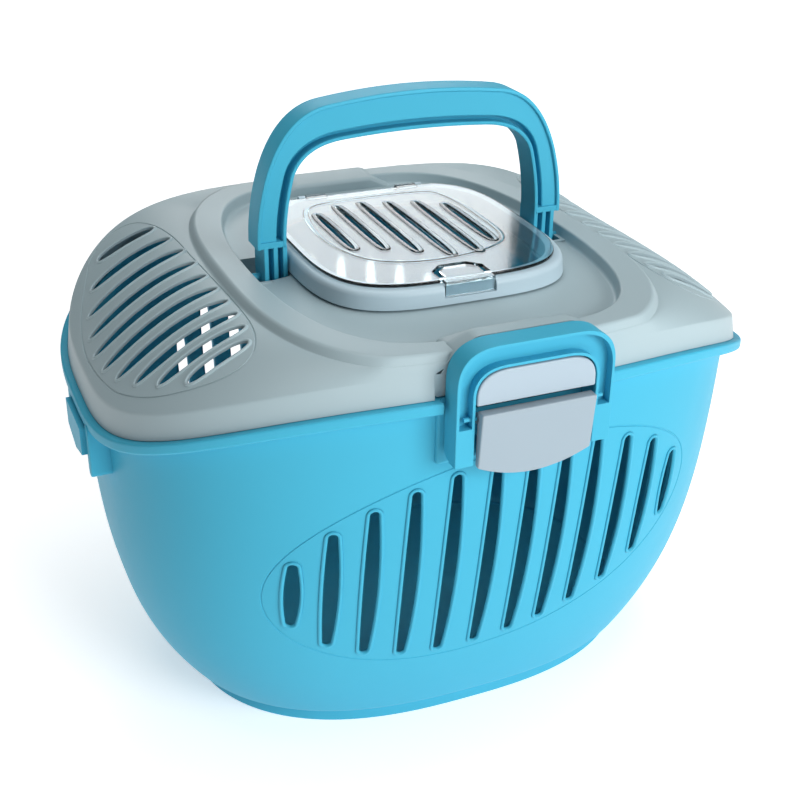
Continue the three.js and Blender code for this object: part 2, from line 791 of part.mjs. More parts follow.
function hatchDoor() {
  const sheet = slab(ovalOutline(grown(frameOval, -doorMargin)), doorBottom, doorTop);
  const behind = block(-frameHalfLength, frameHalfLength, doorRearEdge, frameHalfWidth + overrun,
    doorBottom - overrun, doorTop + overrun);
  const above = block(-frameHalfLength, frameHalfLength, -frameHalfWidth, frameHalfWidth,
    doorBottom, doorTop + overrun);
  const beads = join(doorSlotXShares.map((_, number) => doorSlot(number, doorBeadWidth))).intersect(above);
  const slots = join(doorSlotXShares.map((_, number) => doorSlot(number, 0)));
  const barrels = [-1, 1].map((side) => {
    const left = side * hingeBarrelX - hingeBarrelLength / 2;
    const right = left + hingeBarrelLength;
    const web = block(left, right, doorRearEdge - hingeBarrelRadius, hingeY, doorBottom, doorTop);
    return join([bar(hingeBarrelRadius, left, right, hingeY, hingeZ), web]);
  });
  const tabTop = block(-tabHalfLength, tabHalfLength, -frameHalfWidth, -frameHalfWidth + tabReach,
    doorBottom, doorTop);
  const tabFace = block(-tabHalfLength, tabHalfLength, -frameHalfWidth, -frameHalfWidth + tabThickness,
    doorBottom - tabDrop, doorTop);
  const body = join([cut(sheet, [behind]), beads, ...barrels, tabTop, tabFace]);
  const pin = bar(hingePinRadius + pinClearance, -hingeEnd - overrun, hingeEnd + overrun, hingeY, hingeZ);
  return cut(body, [slots, pin]);
}

function hingePin(side) {
  const near = hingeBarrelX - hingeBarrelLength / 2;
  const far = hingeEnd + seatGap + hingeEarLength;
  return bar(hingePinRadius, side < 0 ? -far : near, side < 0 ? -near : far, hingeY, hingeZ);
}

// Handle: a U of two legs and a grip, grooved front and back, with ribbed feet
function handleOutline(inset) {
  const outer = handleLegOuter - inset;
  const inner = handleLegInner + inset;
  const top = handleTop - inset;
  const under = handleGripInner + inset;
  const bottom = handleShoulder + (inset > 0 ? handleSill : 0);
  const legMiddle = (handleShoulder + handleCornerHeight) / 2;
  const outerRise = [outer - handleOuterRiseInset, top - handleOuterRiseDrop];
  const outerTurn = [outer - handleOuterTurnInset, top - handleOuterTurnDrop];
  const outerCorner = [outer - handleOuterCornerInset, handleCornerHeight];
  const innerRise = [inner - handleInnerRiseInset, under - handleInnerRiseDrop];
  const innerTurn = [inner - handleInnerTurnInset, under - handleInnerTurnDrop];
  const innerCorner = [inner - handleInnerCornerInset, handleCornerHeight];
  const left = ([across, up]) => [-across, up];
  const shape = new THREE.Shape();
  shape.moveTo(inner, bottom);
  shape.lineTo(outer, bottom);
  shape.quadraticCurveTo(outer, legMiddle, ...outerCorner);
  shape.quadraticCurveTo(...outerTurn, ...outerRise);
  shape.quadraticCurveTo(outerRise[0] / 2, top, 0, top);
  shape.quadraticCurveTo(-outerRise[0] / 2, top, ...left(outerRise));
  shape.quadraticCurveTo(...left(outerTurn), ...left(outerCorner));
  shape.quadraticCurveTo(-outer, legMiddle, -outer, bottom);
  shape.lineTo(-inner, bottom);
  shape.quadraticCurveTo(-inner, legMiddle, ...left(innerCorner));
  shape.quadraticCurveTo(...left(innerTurn), ...left(innerRise));
  shape.quadraticCurveTo(-innerRise[0] / 2, under, 0, under);
  shape.quadraticCurveTo(innerRise[0] / 2, under, ...innerRise);
  shape.quadraticCurveTo(...innerTurn, ...innerCorner);
  shape.quadraticCurveTo(inner, legMiddle, inner, bottom);
  return shape;
}

function handleFoot(side) {
  const left = side < 0 ? -footOuter : handleLegInner;
  const right = side < 0 ? -handleLegInner : footOuter;
  const top = handleShoulder + handleSill / 2;
  const arm = block(left, right, -handleHalfWidth, handleHalfWidth, handlePivot, top);
  const round = bar(handleHalfWidth, left, right, 0, handlePivot);
  const gap = (footOuter - handleLegInner - footRib * 3) / 2;
  const grooves = [0, 1].flatMap((number) => {
    const near = handleLegInner + footRib + number * (gap + footRib);
    const from = side < 0 ? -near - gap : near;
    const low = handlePivot - handleHalfWidth - overrun;
    const front = block(from, from + gap, -handleHalfWidth - overrun, -handleHalfWidth + footGroove, low,
      handleShoulder);
    const rear = block(from, from + gap, handleHalfWidth - footGroove, handleHalfWidth + overrun, low,
      handleShoulder);
    return [front, rear];
  });
  return cut(join([arm, round]), grooves);
}

function handleSolid() {
  const body = frontPrism(handleOutline(0), -handleHalfWidth, handleHalfWidth);
  const groove = handleOutline(handleRimWidth);
  const front = frontPrism(groove, handleHalfWidth - handleFrontGroove, handleHalfWidth + overrun);
  const back = frontPrism(groove, -handleHalfWidth - overrun, -handleHalfWidth + handleBackGroove);
  const grooved = cut(body, [front, back]);
  const bore = bar(handlePinRadius + pinClearance, -handleLegOuter, handleLegOuter, 0, handlePivot);
  return cut(join([grooved, handleFoot(-1), handleFoot(1)]), [bore]);
}

function handlePin(side) {
  const near = pocketInner - pocketWall;
  const far = pocketOuter + pocketWall;
  return bar(handlePinRadius, side < 0 ? -far : near, side < 0 ? -near : far, 0, handlePivot);
}

// Clasp bail: an open hoop, its outline and its window
function hoop(outer, inner, bottom, top, shoulder, topHalfLength, barHeight) {
  const shape = new THREE.Shape();
  const innerTopHalf = topHalfLength - (outer - inner) / 2;
  shape.moveTo(inner, bottom);
  shape.lineTo(outer, bottom);
  shape.lineTo(outer, shoulder);
  shape.quadraticCurveTo(outer, top, topHalfLength, top);
  shape.lineTo(-topHalfLength, top);
  shape.quadraticCurveTo(-outer, top, -outer, shoulder);
  shape.lineTo(-outer, bottom);
  shape.lineTo(-inner, bottom);
  shape.lineTo(-inner, shoulder - barHeight / 2);
  shape.quadraticCurveTo(-inner, top - barHeight, -innerTopHalf, top - barHeight);
  shape.lineTo(innerTopHalf, top - barHeight);
  shape.quadraticCurveTo(inner, top - barHeight, inner, shoulder - barHeight / 2);
  return shape;
}

// A hoop with its legs' rear corners turned round the pivot, so that it swings clear of the tub
function bailSolid() {
  const bottom = bailPivotZ - bailToeDrop;
  const rim = bailRimWidth;
  const body = hoop(claspHalfWidth, bailInner, bottom,
    bailTop, bailShoulder, bailTopHalfLength, bailBarHeight);
  const groove = hoop(claspHalfWidth - rim, bailInner + rim, rimHeight - bailGrooveDrop,
    bailTop - rim, bailShoulder - rim, bailTopHalfLength - rim, bailBarHeight - rim * 2);
  const solid = frontPrism(body, bailRear, bailFront);
  const channel = frontPrism(groove, bailFront - bailGrooveDepth, bailFront + overrun);
  const side = claspHalfWidth + overrun;
  const corner = block(-side, side, -bailPivotY, overrun - bailRear, bottom - overrun, bailPivotZ);
  const heel = bar(bailHeelRadius, -side, side, -bailPivotY, bailPivotZ);
  const bores = [
    pinBore(bailPinRadius, bailInner + bailPinOverlap + seatGap, bailPivotY, bailPivotZ),
    pinBore(leverPinRadius, bailInner + leverPinOverlap + seatGap, leverPivotY, leverPivotZ),
  ];
  return cut(solid, [channel, corner.subtract(heel), ...bores]);
}

// Gray insert that fills the top of the bail's window
function insertSolid() {
  const inner = bailInner - seatGap;
  const bottom = rimHeight - insertDrop;
  const top = bailTop - bailBarHeight - seatGap;
  const innerTopHalf = bailTopHalfLength - bailLegWidth / 2 - insertMargin;
  const shape = new THREE.Shape();
  shape.moveTo(-inner, bottom);
  shape.lineTo(inner, bottom);
  shape.lineTo(inner, bailShoulder - bailBarHeight / 2);
  shape.quadraticCurveTo(inner, top, innerTopHalf, top);
  shape.lineTo(-innerTopHalf, top);
  shape.quadraticCurveTo(-inner, top, -inner, bailShoulder - bailBarHeight / 2);
  return frontPrism(shape, bailFront + insertProud - insertThickness, bailFront + insertProud);
}

// The lever's thumb plate, which leans out to its top and has a bowed lower edge
function leverPlate(inset, back, topDepth, bottomDepth) {
  const half = leverHalfLength - inset;
  const top = leverTop - inset;
  const low = leverTop - leverEndDrop + inset;
  const bottom = leverTop - leverMiddleDrop;
  const face = new THREE.Shape();
  face.moveTo(-half, top);
  face.lineTo(-half, low);
  face.quadraticCurveTo(-half / 2, bottom + inset, 0, bottom + inset);
  face.quadraticCurveTo(half / 2, bottom + inset, half, low);
  face.lineTo(half, top);
  const topFront = bailFront + leverTopProud - back;
  const bottomFront = bailFront + leverBottomProud - back;
  const side = polygon([
    [-topFront, leverTop], [-bottomFront, bottom], [-bottomFront + bottomDepth, bottom],
    [-topFront + topDepth, leverTop],
  ]);
  const front = frontPrism(face, bailPivotY - overrun, bailFront + overrun);
  return front.intersect(sidePrism(side, -half, half));
}

// Lever: the plate hollowed from behind, with the hinge barrel inside its top
function leverSolid() {
  const full = leverPlate(0, 0, leverTopDepth, leverBottomDepth);
  const shell = full.subtract(leverPlate(leverWall, leverWall, overrun, overrun));
  const barrel = bar(leverBarrelRadius, -leverHalfLength, leverHalfLength, -leverPivotY, leverPivotZ);
  const front = -bailFront - leverTopProud + leverWall / 2;
  const webHalf = leverHalfLength - leverWall / 2;
  const webLow = leverPivotZ - leverBarrelRadius / 2;
  const web = block(-webHalf, webHalf, front, -leverPivotY, webLow, leverTop - leverWall / 2);
  const bore = pinBore(leverPinRadius, leverHalfLength + overrun, leverPivotY, leverPivotZ);
  return cut(join([shell, barrel, web]), [bore]);
}

function sidePin(radius, near, far, y, z, side) {
  return bar(radius, side < 0 ? -far : near, side < 0 ? -near : far, -y, z);
}

const bailPin = (side) => sidePin(bailPinRadius, bailInner - earMargin - earThickness,
  bailInner + bailPinOverlap, bailPivotY, bailPivotZ, side);
const leverPin = (side) => sidePin(leverPinRadius, leverHalfLength - leverPinInset,
  bailInner + leverPinOverlap, leverPivotY, leverPivotZ, side);

// Clip plate at an end of the tub
function clipSolid() {
  const face = rimHalfLength + lipReach + clipReach;
  const outline = polygon([
    [-clipHalfWidth, clipTop], [-clipHalfWidth, clipBottom + clipStemWidth], [0, clipBottom],
    [clipHalfWidth, clipBottom + clipStemWidth], [clipHalfWidth, clipTop],
  ]);
  const lower = tubOvalAt(clipBottom);
  const plate = sidePrism(outline, face - clipThickness, face);
  const stem = sidePrism(polygon([
    [-clipHalfWidth, clipTop], [-clipHalfWidth, clipTop - clipStemWidth],
    [clipHalfWidth, clipTop - clipStemWidth], [clipHalfWidth, clipTop],
  ]), lower.halfLength, face);
  const lip = grown(rimOval, lipReach + seatGap);
  const tub = skin([
    ...tubOutside(seatGap),
    ring((angle) => reach(lip, angle), (angle) => underLip(angle) - seatGap),
    ring((angle) => reach(lip, angle), (angle) => rimHeightAt(angle) + seatGap),
  ], false);
  return cut(join([plate, stem]), [tub]);
}

// The assembly
const carrier = new THREE.Group();
carrier.name = "small_animal_carrier";

const base = new THREE.Group();
base.add(piece("base_tub", baseTub(), blueShell));
const clip = clipSolid();
base.add(piece("end_clip_right", clip, grayShell));
base.add(piece("end_clip_left", turned(clip), grayShell));

const lid = new THREE.Group();
lid.add(piece("lid_shell", lidSolid(), grayShell));
lid.add(piece("hatch_frame", hatchFrame(), grayShell));
lid.add(piece("handle_pin_left", handlePin(-1), steel));
lid.add(piece("handle_pin_right", handlePin(1), steel));
lid.add(piece("hatch_pin_left", hingePin(-1), steel));
lid.add(piece("hatch_pin_right", hingePin(1), steel));

const handle = new THREE.Group();
handle.add(piece("handle", handleSolid(), blueShell));

const hatch = new THREE.Group();
hatch.add(piece("hatch_door", hatchDoor(), clearSheet));

// One clasp as a group, which is turned round for the back
function clasp(end) {
  const group = new THREE.Group();
  group.add(piece(`${end}_bail`, bailSolid(), blueShell));
  group.add(piece(`${end}_insert`, insertSolid(), grayShell));
  group.add(piece(`${end}_lever`, leverSolid(), grayShell));
  group.add(piece(`${end}_bail_pin_left`, bailPin(-1), steel));
  group.add(piece(`${end}_bail_pin_right`, bailPin(1), steel));
  group.add(piece(`${end}_lever_pin_left`, leverPin(-1), steel));
  group.add(piece(`${end}_lever_pin_right`, leverPin(1), steel));
  return group;
}

const frontClasp = clasp("front");
const rearClasp = clasp("rear");
rearClasp.rotation.z = Math.PI;

carrier.add(base, lid, handle, hatch, frontClasp, rearClasp);

export default carrier;
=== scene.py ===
# %% [markdown]
# # Small animal carrier
# A blue plastic tub with a slotted front, a gray vented lid, a clear hatch, a carrying handle and
# two clasps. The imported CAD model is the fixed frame: every piece made here sits on it and moves
# with one of its bodies. Lengths are in millimetres in the helpers and turn into metres at the end.

# %% Frame
import math

import bmesh
import bpy
import numpy as np
from mathutils import Matrix, Vector


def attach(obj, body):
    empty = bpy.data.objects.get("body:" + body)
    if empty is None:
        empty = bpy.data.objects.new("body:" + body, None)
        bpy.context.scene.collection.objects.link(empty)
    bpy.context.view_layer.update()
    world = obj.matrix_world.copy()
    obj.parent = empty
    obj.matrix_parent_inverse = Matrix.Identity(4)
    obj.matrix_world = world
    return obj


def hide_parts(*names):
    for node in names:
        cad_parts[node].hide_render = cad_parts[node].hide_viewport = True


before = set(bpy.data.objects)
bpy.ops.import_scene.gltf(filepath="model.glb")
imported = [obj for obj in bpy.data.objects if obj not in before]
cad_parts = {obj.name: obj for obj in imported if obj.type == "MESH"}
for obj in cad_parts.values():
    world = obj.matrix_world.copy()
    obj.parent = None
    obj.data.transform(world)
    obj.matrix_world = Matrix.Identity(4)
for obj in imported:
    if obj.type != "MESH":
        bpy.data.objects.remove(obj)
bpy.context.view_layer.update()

MM = 0.001

# %% [markdown]
# ## Camera
# The photograph was taken from the front left, a little under thirty degrees up. A camera is a
# point, three directions and a focal length. Placing it from its distance and angles keeps each
# number readable, where dragging it in the viewport would not.

# %% Camera
AZIMUTH = math.radians(-23.3)
ELEVATION = math.radians(27.27)
ROLL = math.radians(0.75)
DISTANCE = 745.9
TARGET = Vector((-3.93, 0, 145.6))
LENS = 58.46
SENSOR = 36

side = Vector((math.cos(AZIMUTH), math.sin(AZIMUTH), 0))
back = Vector((math.sin(AZIMUTH) * math.cos(ELEVATION),
               -math.cos(AZIMUTH) * math.cos(ELEVATION), math.sin(ELEVATION)))
rise = back.cross(side)
camera_right = side * math.cos(ROLL) + rise * math.sin(ROLL)
camera_up = rise * math.cos(ROLL) - side * math.sin(ROLL)
place = (TARGET + back * DISTANCE) * MM

camera_data = bpy.data.cameras.new("photo_camera")
camera_data.lens = LENS
camera_data.sensor_width = SENSOR
camera = bpy.data.objects.new("photo_camera", camera_data)
camera.matrix_world = Matrix((
    (camera_right.x, camera_up.x, back.x, place.x),
    (camera_right.y, camera_up.y, back.y, place.y),
    (camera_right.z, camera_up.z, back.z, place.z),
    (0, 0, 0, 1),
))
bpy.context.scene.collection.objects.link(camera)
bpy.context.scene.camera = camera
print("camera at", [round(v, 3) for v in place])

# %% [markdown]
# ## Shader maths
# A node tree is a formula. A small class wraps a socket so that formulas read as Python: each
# operator adds its own Math node. The same class makes any other node from its type, its settings
# and its sockets.


# %% Sockets as numbers
class Wire:
    """One output socket of a node tree, with operators that add Math nodes."""

    def __init__(self, tree, socket):
        self.tree = tree
        self.socket = socket

    def node(self, kind, settings=None, sockets=None, output=0):
        made = self.tree.nodes.new(kind)
        for name, value in (settings or {}).items():
            if name == "stops":
                stops = made.color_ramp.elements
                while len(stops) > 1:
                    stops.remove(stops[-1])
                for number, (position, color) in enumerate(value):
                    stop = stops[0] if number == 0 else stops.new(position)
                    stop.position = position
                    stop.color = color
            else:
                setattr(made, name, value)
        for name, value in (sockets or {}).items():
            if isinstance(value, Wire):
                self.tree.links.new(value.socket, made.inputs[name])
            else:
                made.inputs[name].default_value = value
        return Wire(self.tree, made.outputs[output])

    def maths(self, operation, *values):
        inputs = {number: value for number, value in enumerate(values)}
        return self.node("ShaderNodeMath", {"operation": operation}, inputs)

    def __add__(self, other):
        return self.maths("ADD", self, other)

    def __radd__(self, other):
        return self.maths("ADD", other, self)

    def __sub__(self, other):
        return self.maths("SUBTRACT", self, other)

    def __rsub__(self, other):
        return self.maths("SUBTRACT", other, self)

    def __mul__(self, other):
        return self.maths("MULTIPLY", self, other)

    def __rmul__(self, other):
        return self.maths("MULTIPLY", other, self)

    def blend(self, low, high):
        """A colour between two colours, by this wire's number."""
        return self.node("ShaderNodeMix", {"data_type": "RGBA"}, {0: self, 6: low, 7: high}, 2)


def new_material(name):
    """A material with its surface shader, and a wire to start formulas from."""
    material = bpy.data.materials.new(name)
    material.use_nodes = True
    tree = material.node_tree
    shader = tree.nodes["Principled BSDF"]
    place = tree.nodes.new("ShaderNodeTexCoord")
    return material, shader, Wire(tree, place.outputs["Object"])


def feed(shader, name, wire):
    wire.tree.links.new(wire.socket, shader.inputs[name])


# %% [markdown]
# ## Moulded plastic
# The carrier is injection moulded: even colour, a fine spark-eroded grain, and very slight waves
# where the wall cooled. Colour drifts by a per cent or two and the sheen breaks up a little. Three
# noises do this: a slow one for colour and waves, a fine one for the grain, and one between them
# for scuffs. A picture texture would repeat and would blur when the camera comes close.


# %% Plastic finishes
SLOW_SCALE = 9
FINE_SCALE = 1400
SCUFF_SCALE = 60
MARKS_SCALE = 35
DRAWN_SCALE = 900


def noise(at, scale, detail, distortion=0):
    return at.node("ShaderNodeTexNoise", {}, {
        "Vector": at, "Scale": scale, "Detail": detail, "Distortion": distortion})


def plastic(name, shade, light, roughness, grain, level):
    """A finish between two shades, with its roughness, its grain and how much it mirrors."""
    material, shader, at = new_material(name)
    slow = noise(at, SLOW_SCALE, 3)
    fine = noise(at, FINE_SCALE, 2)
    scuff = noise(at, SCUFF_SCALE, 6, 1.2)
    feed(shader, "Base Color", slow.blend(shade, light))
    feed(shader, "Roughness", roughness + 0.08 * (scuff - 0.5) + 0.04 * (fine - 0.5))
    waves = at.node("ShaderNodeBump", {}, {"Strength": 0.06, "Distance": 0.004, "Height": slow})
    feed(shader, "Normal", at.node("ShaderNodeBump", {}, {
        "Strength": grain, "Distance": 0.0001, "Height": fine, "Normal": waves}))
    shader.inputs["Specular IOR Level"].default_value = level
    print("finish", name)
    return material


blue_plastic = plastic("blue_plastic", (0.05, 0.385, 0.555, 1), (0.06, 0.42, 0.6, 1),
                       0.45, 0.25, 0.15)
gray_plastic = plastic("gray_plastic", (0.34, 0.445, 0.48, 1), (0.375, 0.48, 0.515, 1),
                       0.45, 0.25, 0.4)
frame_gray = plastic("frame_gray_plastic", (0.43, 0.56, 0.63, 1), (0.47, 0.6, 0.67, 1),
                     0.45, 0.25, 0.4)
# The lever is the insert's satin gray painted about a fifth darker. This is painted shade on the lever's
# face.
lever_painted_shade_gray = plastic("satin_gray_plastic_painted_shade", (0.28, 0.355, 0.41, 1), (0.31, 0.385, 0.44, 1),
                     0.38, 0.08, 0.35)
satin_gray = plastic("satin_gray_plastic", (0.34, 0.43, 0.5, 1), (0.38, 0.47, 0.54, 1),
                     0.36, 0.08, 0.35)

# %% [markdown]
# ## Clear plastic and steel
# The hatch is clear, smooth and shows the studio in its surface, so it gets a glass-like shader
# with a low roughness that varies slightly with handling marks. Its pins are plain drawn steel.


# %% Clear and steel finishes
def clear_plastic():
    material, shader, at = new_material("clear_plastic")
    marks = noise(at, MARKS_SCALE, 5, 2)
    shader.inputs["Base Color"].default_value = (0.84, 0.95, 0.985, 1)
    feed(shader, "Roughness", 0.04 + 0.05 * marks)
    feed(shader, "Normal", at.node("ShaderNodeBump", {}, {
        "Strength": 0.03, "Distance": 0.001, "Height": marks}))
    shader.inputs["Transmission Weight"].default_value = 1
    shader.inputs["IOR"].default_value = 1.45
    return material


def steel():
    material, shader, at = new_material("drawn_steel")
    lines = noise(at, DRAWN_SCALE, 2)
    feed(shader, "Roughness", 0.28 + 0.12 * lines)
    shader.inputs["Base Color"].default_value = (0.56, 0.57, 0.58, 1)
    shader.inputs["Metallic"].default_value = 1
    return material


clear_sheet = clear_plastic()
drawn_steel = steel()
print("finishes", len(bpy.data.materials))

# %% [markdown]
# ## Mesh helpers
# Most of the carrier is a stack of oval rings, because moulded tubs and lids are drawn from an
# oval. Each ring is an array of points, one for each direction round the carrier, so numpy works
# out a whole ring at once. Corners are rounded by swapping one ring for a few on a short curve.

# %% Rings
SIDES = 264
TURN = np.linspace(0, 2 * np.pi, SIDES, endpoint=False)
SEARCH_STEPS = 44
FAR_OUT = 1000.0
LONGEST_CORNER_SHARE = 0.48


def reach(plan, angle=TURN):
    """How far an oval (half length, half width, curve shares of front and rear) goes."""
    half_length, half_width, front, rear = plan
    angle = np.asarray(angle, float)
    ends, sides = (np.where(np.sin(angle) > 0, behind, ahead) for ahead, behind in zip(front, rear))
    inside = np.zeros_like(angle)
    outside = np.full_like(angle, FAR_OUT)
    for _ in range(SEARCH_STEPS):
        middle = (inside + outside) / 2
        level = ((middle * abs(np.cos(angle)) / half_length) ** ends
                 + (middle * abs(np.sin(angle)) / half_width) ** sides)
        inside = np.where(level < 1, middle, inside)
        outside = np.where(level < 1, outside, middle)
    return inside


def oval(half_length, half_width, front, rear=None):
    """An oval's sizes and curve shares. Its rear half has the front's shares unless it has its own."""
    return half_length, half_width, front, rear or front


def grown(plan, by):
    return (plan[0] + by, plan[1] + by, plan[2], plan[3])


def ring(out, height):
    """A ring of points from its reach and its height in each direction."""
    return np.stack([out * np.cos(TURN), out * np.sin(TURN), np.broadcast_to(height, out.shape)], 1)


def level_ring(plan, height):
    return ring(reach(plan), float(height))


def eased(share):
    """A share from 0 to 1 that starts and ends gently."""
    return share ** 2 * (3 - 2 * share)


def softened(rings, radii, steps=5):
    """Swaps each ring that has a radius for a few rings on a short curve round that corner."""
    soft = []
    for number, (here, radius) in enumerate(zip(rings, radii)):
        if not radius:
            soft.append(here)
            continue
        before, after = rings[number - 1], rings[(number + 1) % len(rings)]
        start, end = before - here, after - here
        start_length = np.linalg.norm(start, axis=1, keepdims=True)
        end_length = np.linalg.norm(end, axis=1, keepdims=True)
        first = here + start * np.minimum(radius / start_length, LONGEST_CORNER_SHARE)
        last = here + end * np.minimum(radius / end_length, LONGEST_CORNER_SHARE)
        for share in np.linspace(0, 1, steps):
            soft.append(first * (1 - share) ** 2 + here * 2 * share * (1 - share) + last * share ** 2)
    return soft


# %% Meshes from rings and outlines
def mesh_object(name, points, faces):
    mesh = bpy.data.meshes.new(name)
    mesh.from_pydata([tuple(point) for point in np.asarray(points) * MM], [], faces)
    mesh.validate()
    made = bpy.data.objects.new(name, mesh)
    bpy.context.scene.collection.objects.link(made)
    return made


def skin(name, rings, closed=False):
    """Joins rings into one closed mesh, capped at both ends or joined end to start."""
    sides = len(rings[0])
    faces = []
    spans = len(rings) if closed else len(rings) - 1
    for row in range(spans):
        here, there = row * sides, ((row + 1) % len(rings)) * sides
        for number in range(sides):
            after = (number + 1) % sides
            faces.append((here + number, here + after, there + after, there + number))
    if not closed:
        faces.append(tuple(reversed(range(sides))))
        faces.append(tuple(range((len(rings) - 1) * sides, len(rings) * sides)))
    return mesh_object(name, np.concatenate(rings), faces)


AXES = {"top": (0, 1, 2), "front": (0, 2, 1), "side": (1, 2, 0)}


def prism(name, outline, low, high, plane="top"):
    """An outline in one plane, pulled straight from low to high."""
    outline = np.asarray(outline, float)
    across, up, along = AXES[plane]
    rings = []
    for height in (low, high):
        points = np.zeros((len(outline), 3))
        points[:, across], points[:, up], points[:, along] = outline[:, 0], outline[:, 1], height
        rings.append(points)
    made = skin(name, rings)
    outward(made)
    return made


def outward(made):
    """Turns every face of a closed mesh to the outside."""
    work = bmesh.new()
    work.from_mesh(made.data)
    bmesh.ops.recalc_face_normals(work, faces=work.faces)
    work.to_mesh(made.data)
    work.free()


def span(end, near, far):
    """Two places on one side of the middle (end is -1 or 1), in rising order."""
    return sorted((end * near, end * far))


def box(name, left, right, front, rear, low, high):
    return prism(name, [(left, front), (right, front), (right, rear), (left, rear)], low, high)


# %% Modifiers, applied at once
SHARP_ANGLE = math.radians(32)


def drop(made):
    """Deletes an object and its mesh."""
    old = made.data
    bpy.data.objects.remove(made)
    bpy.data.meshes.remove(old)


def apply_modifiers(made):
    graph = bpy.context.evaluated_depsgraph_get()
    mesh = bpy.data.meshes.new_from_object(made.evaluated_get(graph))
    made.modifiers.clear()
    old = made.data
    made.data = mesh
    mesh.name = made.name
    bpy.data.meshes.remove(old)
    return made


def rounded(made, width, segments=3, angle=35):
    modifier = made.modifiers.new("round", "BEVEL")
    modifier.width = width * MM
    modifier.segments = segments
    modifier.limit_method = "ANGLE"
    modifier.angle_limit = math.radians(angle)
    return apply_modifiers(made)


def joined(name, pieces):
    """Several meshes as one object, each keeping its own surface."""
    work = bmesh.new()
    for made in pieces:
        work.from_mesh(made.data)
    mesh = bpy.data.meshes.new(name)
    work.to_mesh(mesh)
    work.free()
    for made in pieces:
        drop(made)
    made = bpy.data.objects.new(name, mesh)
    bpy.context.scene.collection.objects.link(made)
    return made


def combine(target, tools, operation="DIFFERENCE"):
    """Adds or takes away whole solids."""
    tool = joined("tool", tools) if len(tools) > 1 else tools[0]
    modifier = target.modifiers.new("combine", "BOOLEAN")
    modifier.operation = operation
    modifier.solver = "MANIFOLD"
    modifier.object = tool
    apply_modifiers(target)
    drop(tool)


def dress(made, body, material, nodes):
    """Shades a finished piece, puts it on its body and lets it stand for its CAD nodes."""
    made.data.materials.clear()
    made.data.materials.append(material)
    made.data.polygons.foreach_set("use_smooth", [True] * len(made.data.polygons))
    made.data.set_sharp_from_angle(angle=SHARP_ANGLE)
    modifier = made.modifiers.new("faces", "WEIGHTED_NORMAL")
    modifier.keep_sharp = True
    modifier.weight = 50
    apply_modifiers(made)
    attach(made, body)
    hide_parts(*nodes)
    print(made.name, len(made.data.polygons), "faces")


# %% [markdown]
# ## Lines on a surface
# A bead round a slot, or a fine engraved line, follows the surface that it lies on. Both are one
# small section swept along a closed line, with the surface's own upward direction at every point.
# Drawing them as separate sweeps keeps their round profile crisp at any size of the big mesh.


# %% Sweeps along closed lines
def unit(rows):
    return rows / np.linalg.norm(rows, axis=1, keepdims=True)


def swept(name, path, ups, section):
    """A section of (sideways, upward) points carried along a closed line of points."""
    sides = unit(np.cross(np.roll(path, -1, 0) - np.roll(path, 1, 0), ups))
    rings = [point + np.outer([across for across, _ in section], side)
             + np.outer([height for _, height in section], up)
             for point, side, up in zip(path, sides, ups)]
    made = skin(name, rings, closed=True)
    outward(made)
    return made


def arc(radius, turns, middle=(0, 0)):
    """Points of a circle at a few angles."""
    return [(middle[0] + radius * math.cos(a), middle[1] + radius * math.sin(a)) for a in turns]


def circle(radius, steps, middle=(0, 0)):
    return arc(radius, np.linspace(0, 2 * np.pi, steps, endpoint=False), middle)


def stadium(half, radius, straight=14, round_steps=12):
    """A slot outline about its own middle: long direction first."""
    turn = np.linspace(-np.pi / 2, np.pi / 2, round_steps + 1)
    cap = np.stack([half - radius + radius * np.cos(turn), radius * np.sin(turn)], 1)
    run = np.linspace(half - radius, radius - half, straight + 1)[1:-1]
    upper = np.stack([run, np.full_like(run, radius)], 1)
    return np.concatenate([cap, upper, -cap, -upper])


def pod(half, radius, straight, end_share=0.74, round_steps=12):
    """A slot outline that narrows a little from its middle to its round ends."""
    tip = radius * end_share
    turn = np.linspace(-np.pi / 2, np.pi / 2, round_steps + 1)
    cap = np.stack([half - tip + tip * np.cos(turn), tip * np.sin(turn)], 1)
    run = np.linspace(1, -1, straight + 1)[1:-1]
    upper = np.stack([run * (half - tip), radius * (1 - (1 - end_share) * run ** 2)], 1)
    return np.concatenate([cap, upper, -cap, -upper])


def leaf(half, radius, steps=64):
    """A slot outline that narrows smoothly to both ends."""
    turn = np.linspace(0, 2 * np.pi, steps, endpoint=False)
    along = np.sign(np.cos(turn)) * abs(np.cos(turn)) ** 0.62
    across = np.sign(np.sin(turn)) * abs(np.sin(turn)) ** 0.95
    return np.stack([half * along, radius * across], 1)


def smooth_loop(points, steps):
    """A closed, smooth line through a few points."""
    points = np.asarray(points, float)
    count = len(points)
    made = []
    for number in range(count):
        before, start, end, after = (points[(number + offset) % count] for offset in (-1, 0, 1, 2))
        for share in np.linspace(0, 1, steps, endpoint=False):
            made.append(0.5 * (2 * start + (end - before) * share
                               + (2 * before - 5 * start + 4 * end - after) * share ** 2
                               + (3 * start - before - 3 * end + after) * share ** 3))
    return np.array(made)


def bead_section(width, height, depth):
    """Half-round bead beside an opening, with the opening's wall under it."""
    return [(0, -depth), (0, height * 0.45), (width * 0.12, height * 0.8), (width * 0.34, height),
            (width * 0.62, height * 0.95), (width * 0.85, height * 0.6), (width, height * 0.1),
            (width * 1.06, -height * 0.5), (width * 0.3, -depth * 0.5)]


# %% [markdown]
# ## Tub
# The tub is one moulding. Its floor is a rounded oblong and its rim a wide oval that dips to both
# ends, with a lip all round. The wall bulges outwards as it rises. It is a stack of rings between
# those two ovals; every ring high up follows the dip of the rim.

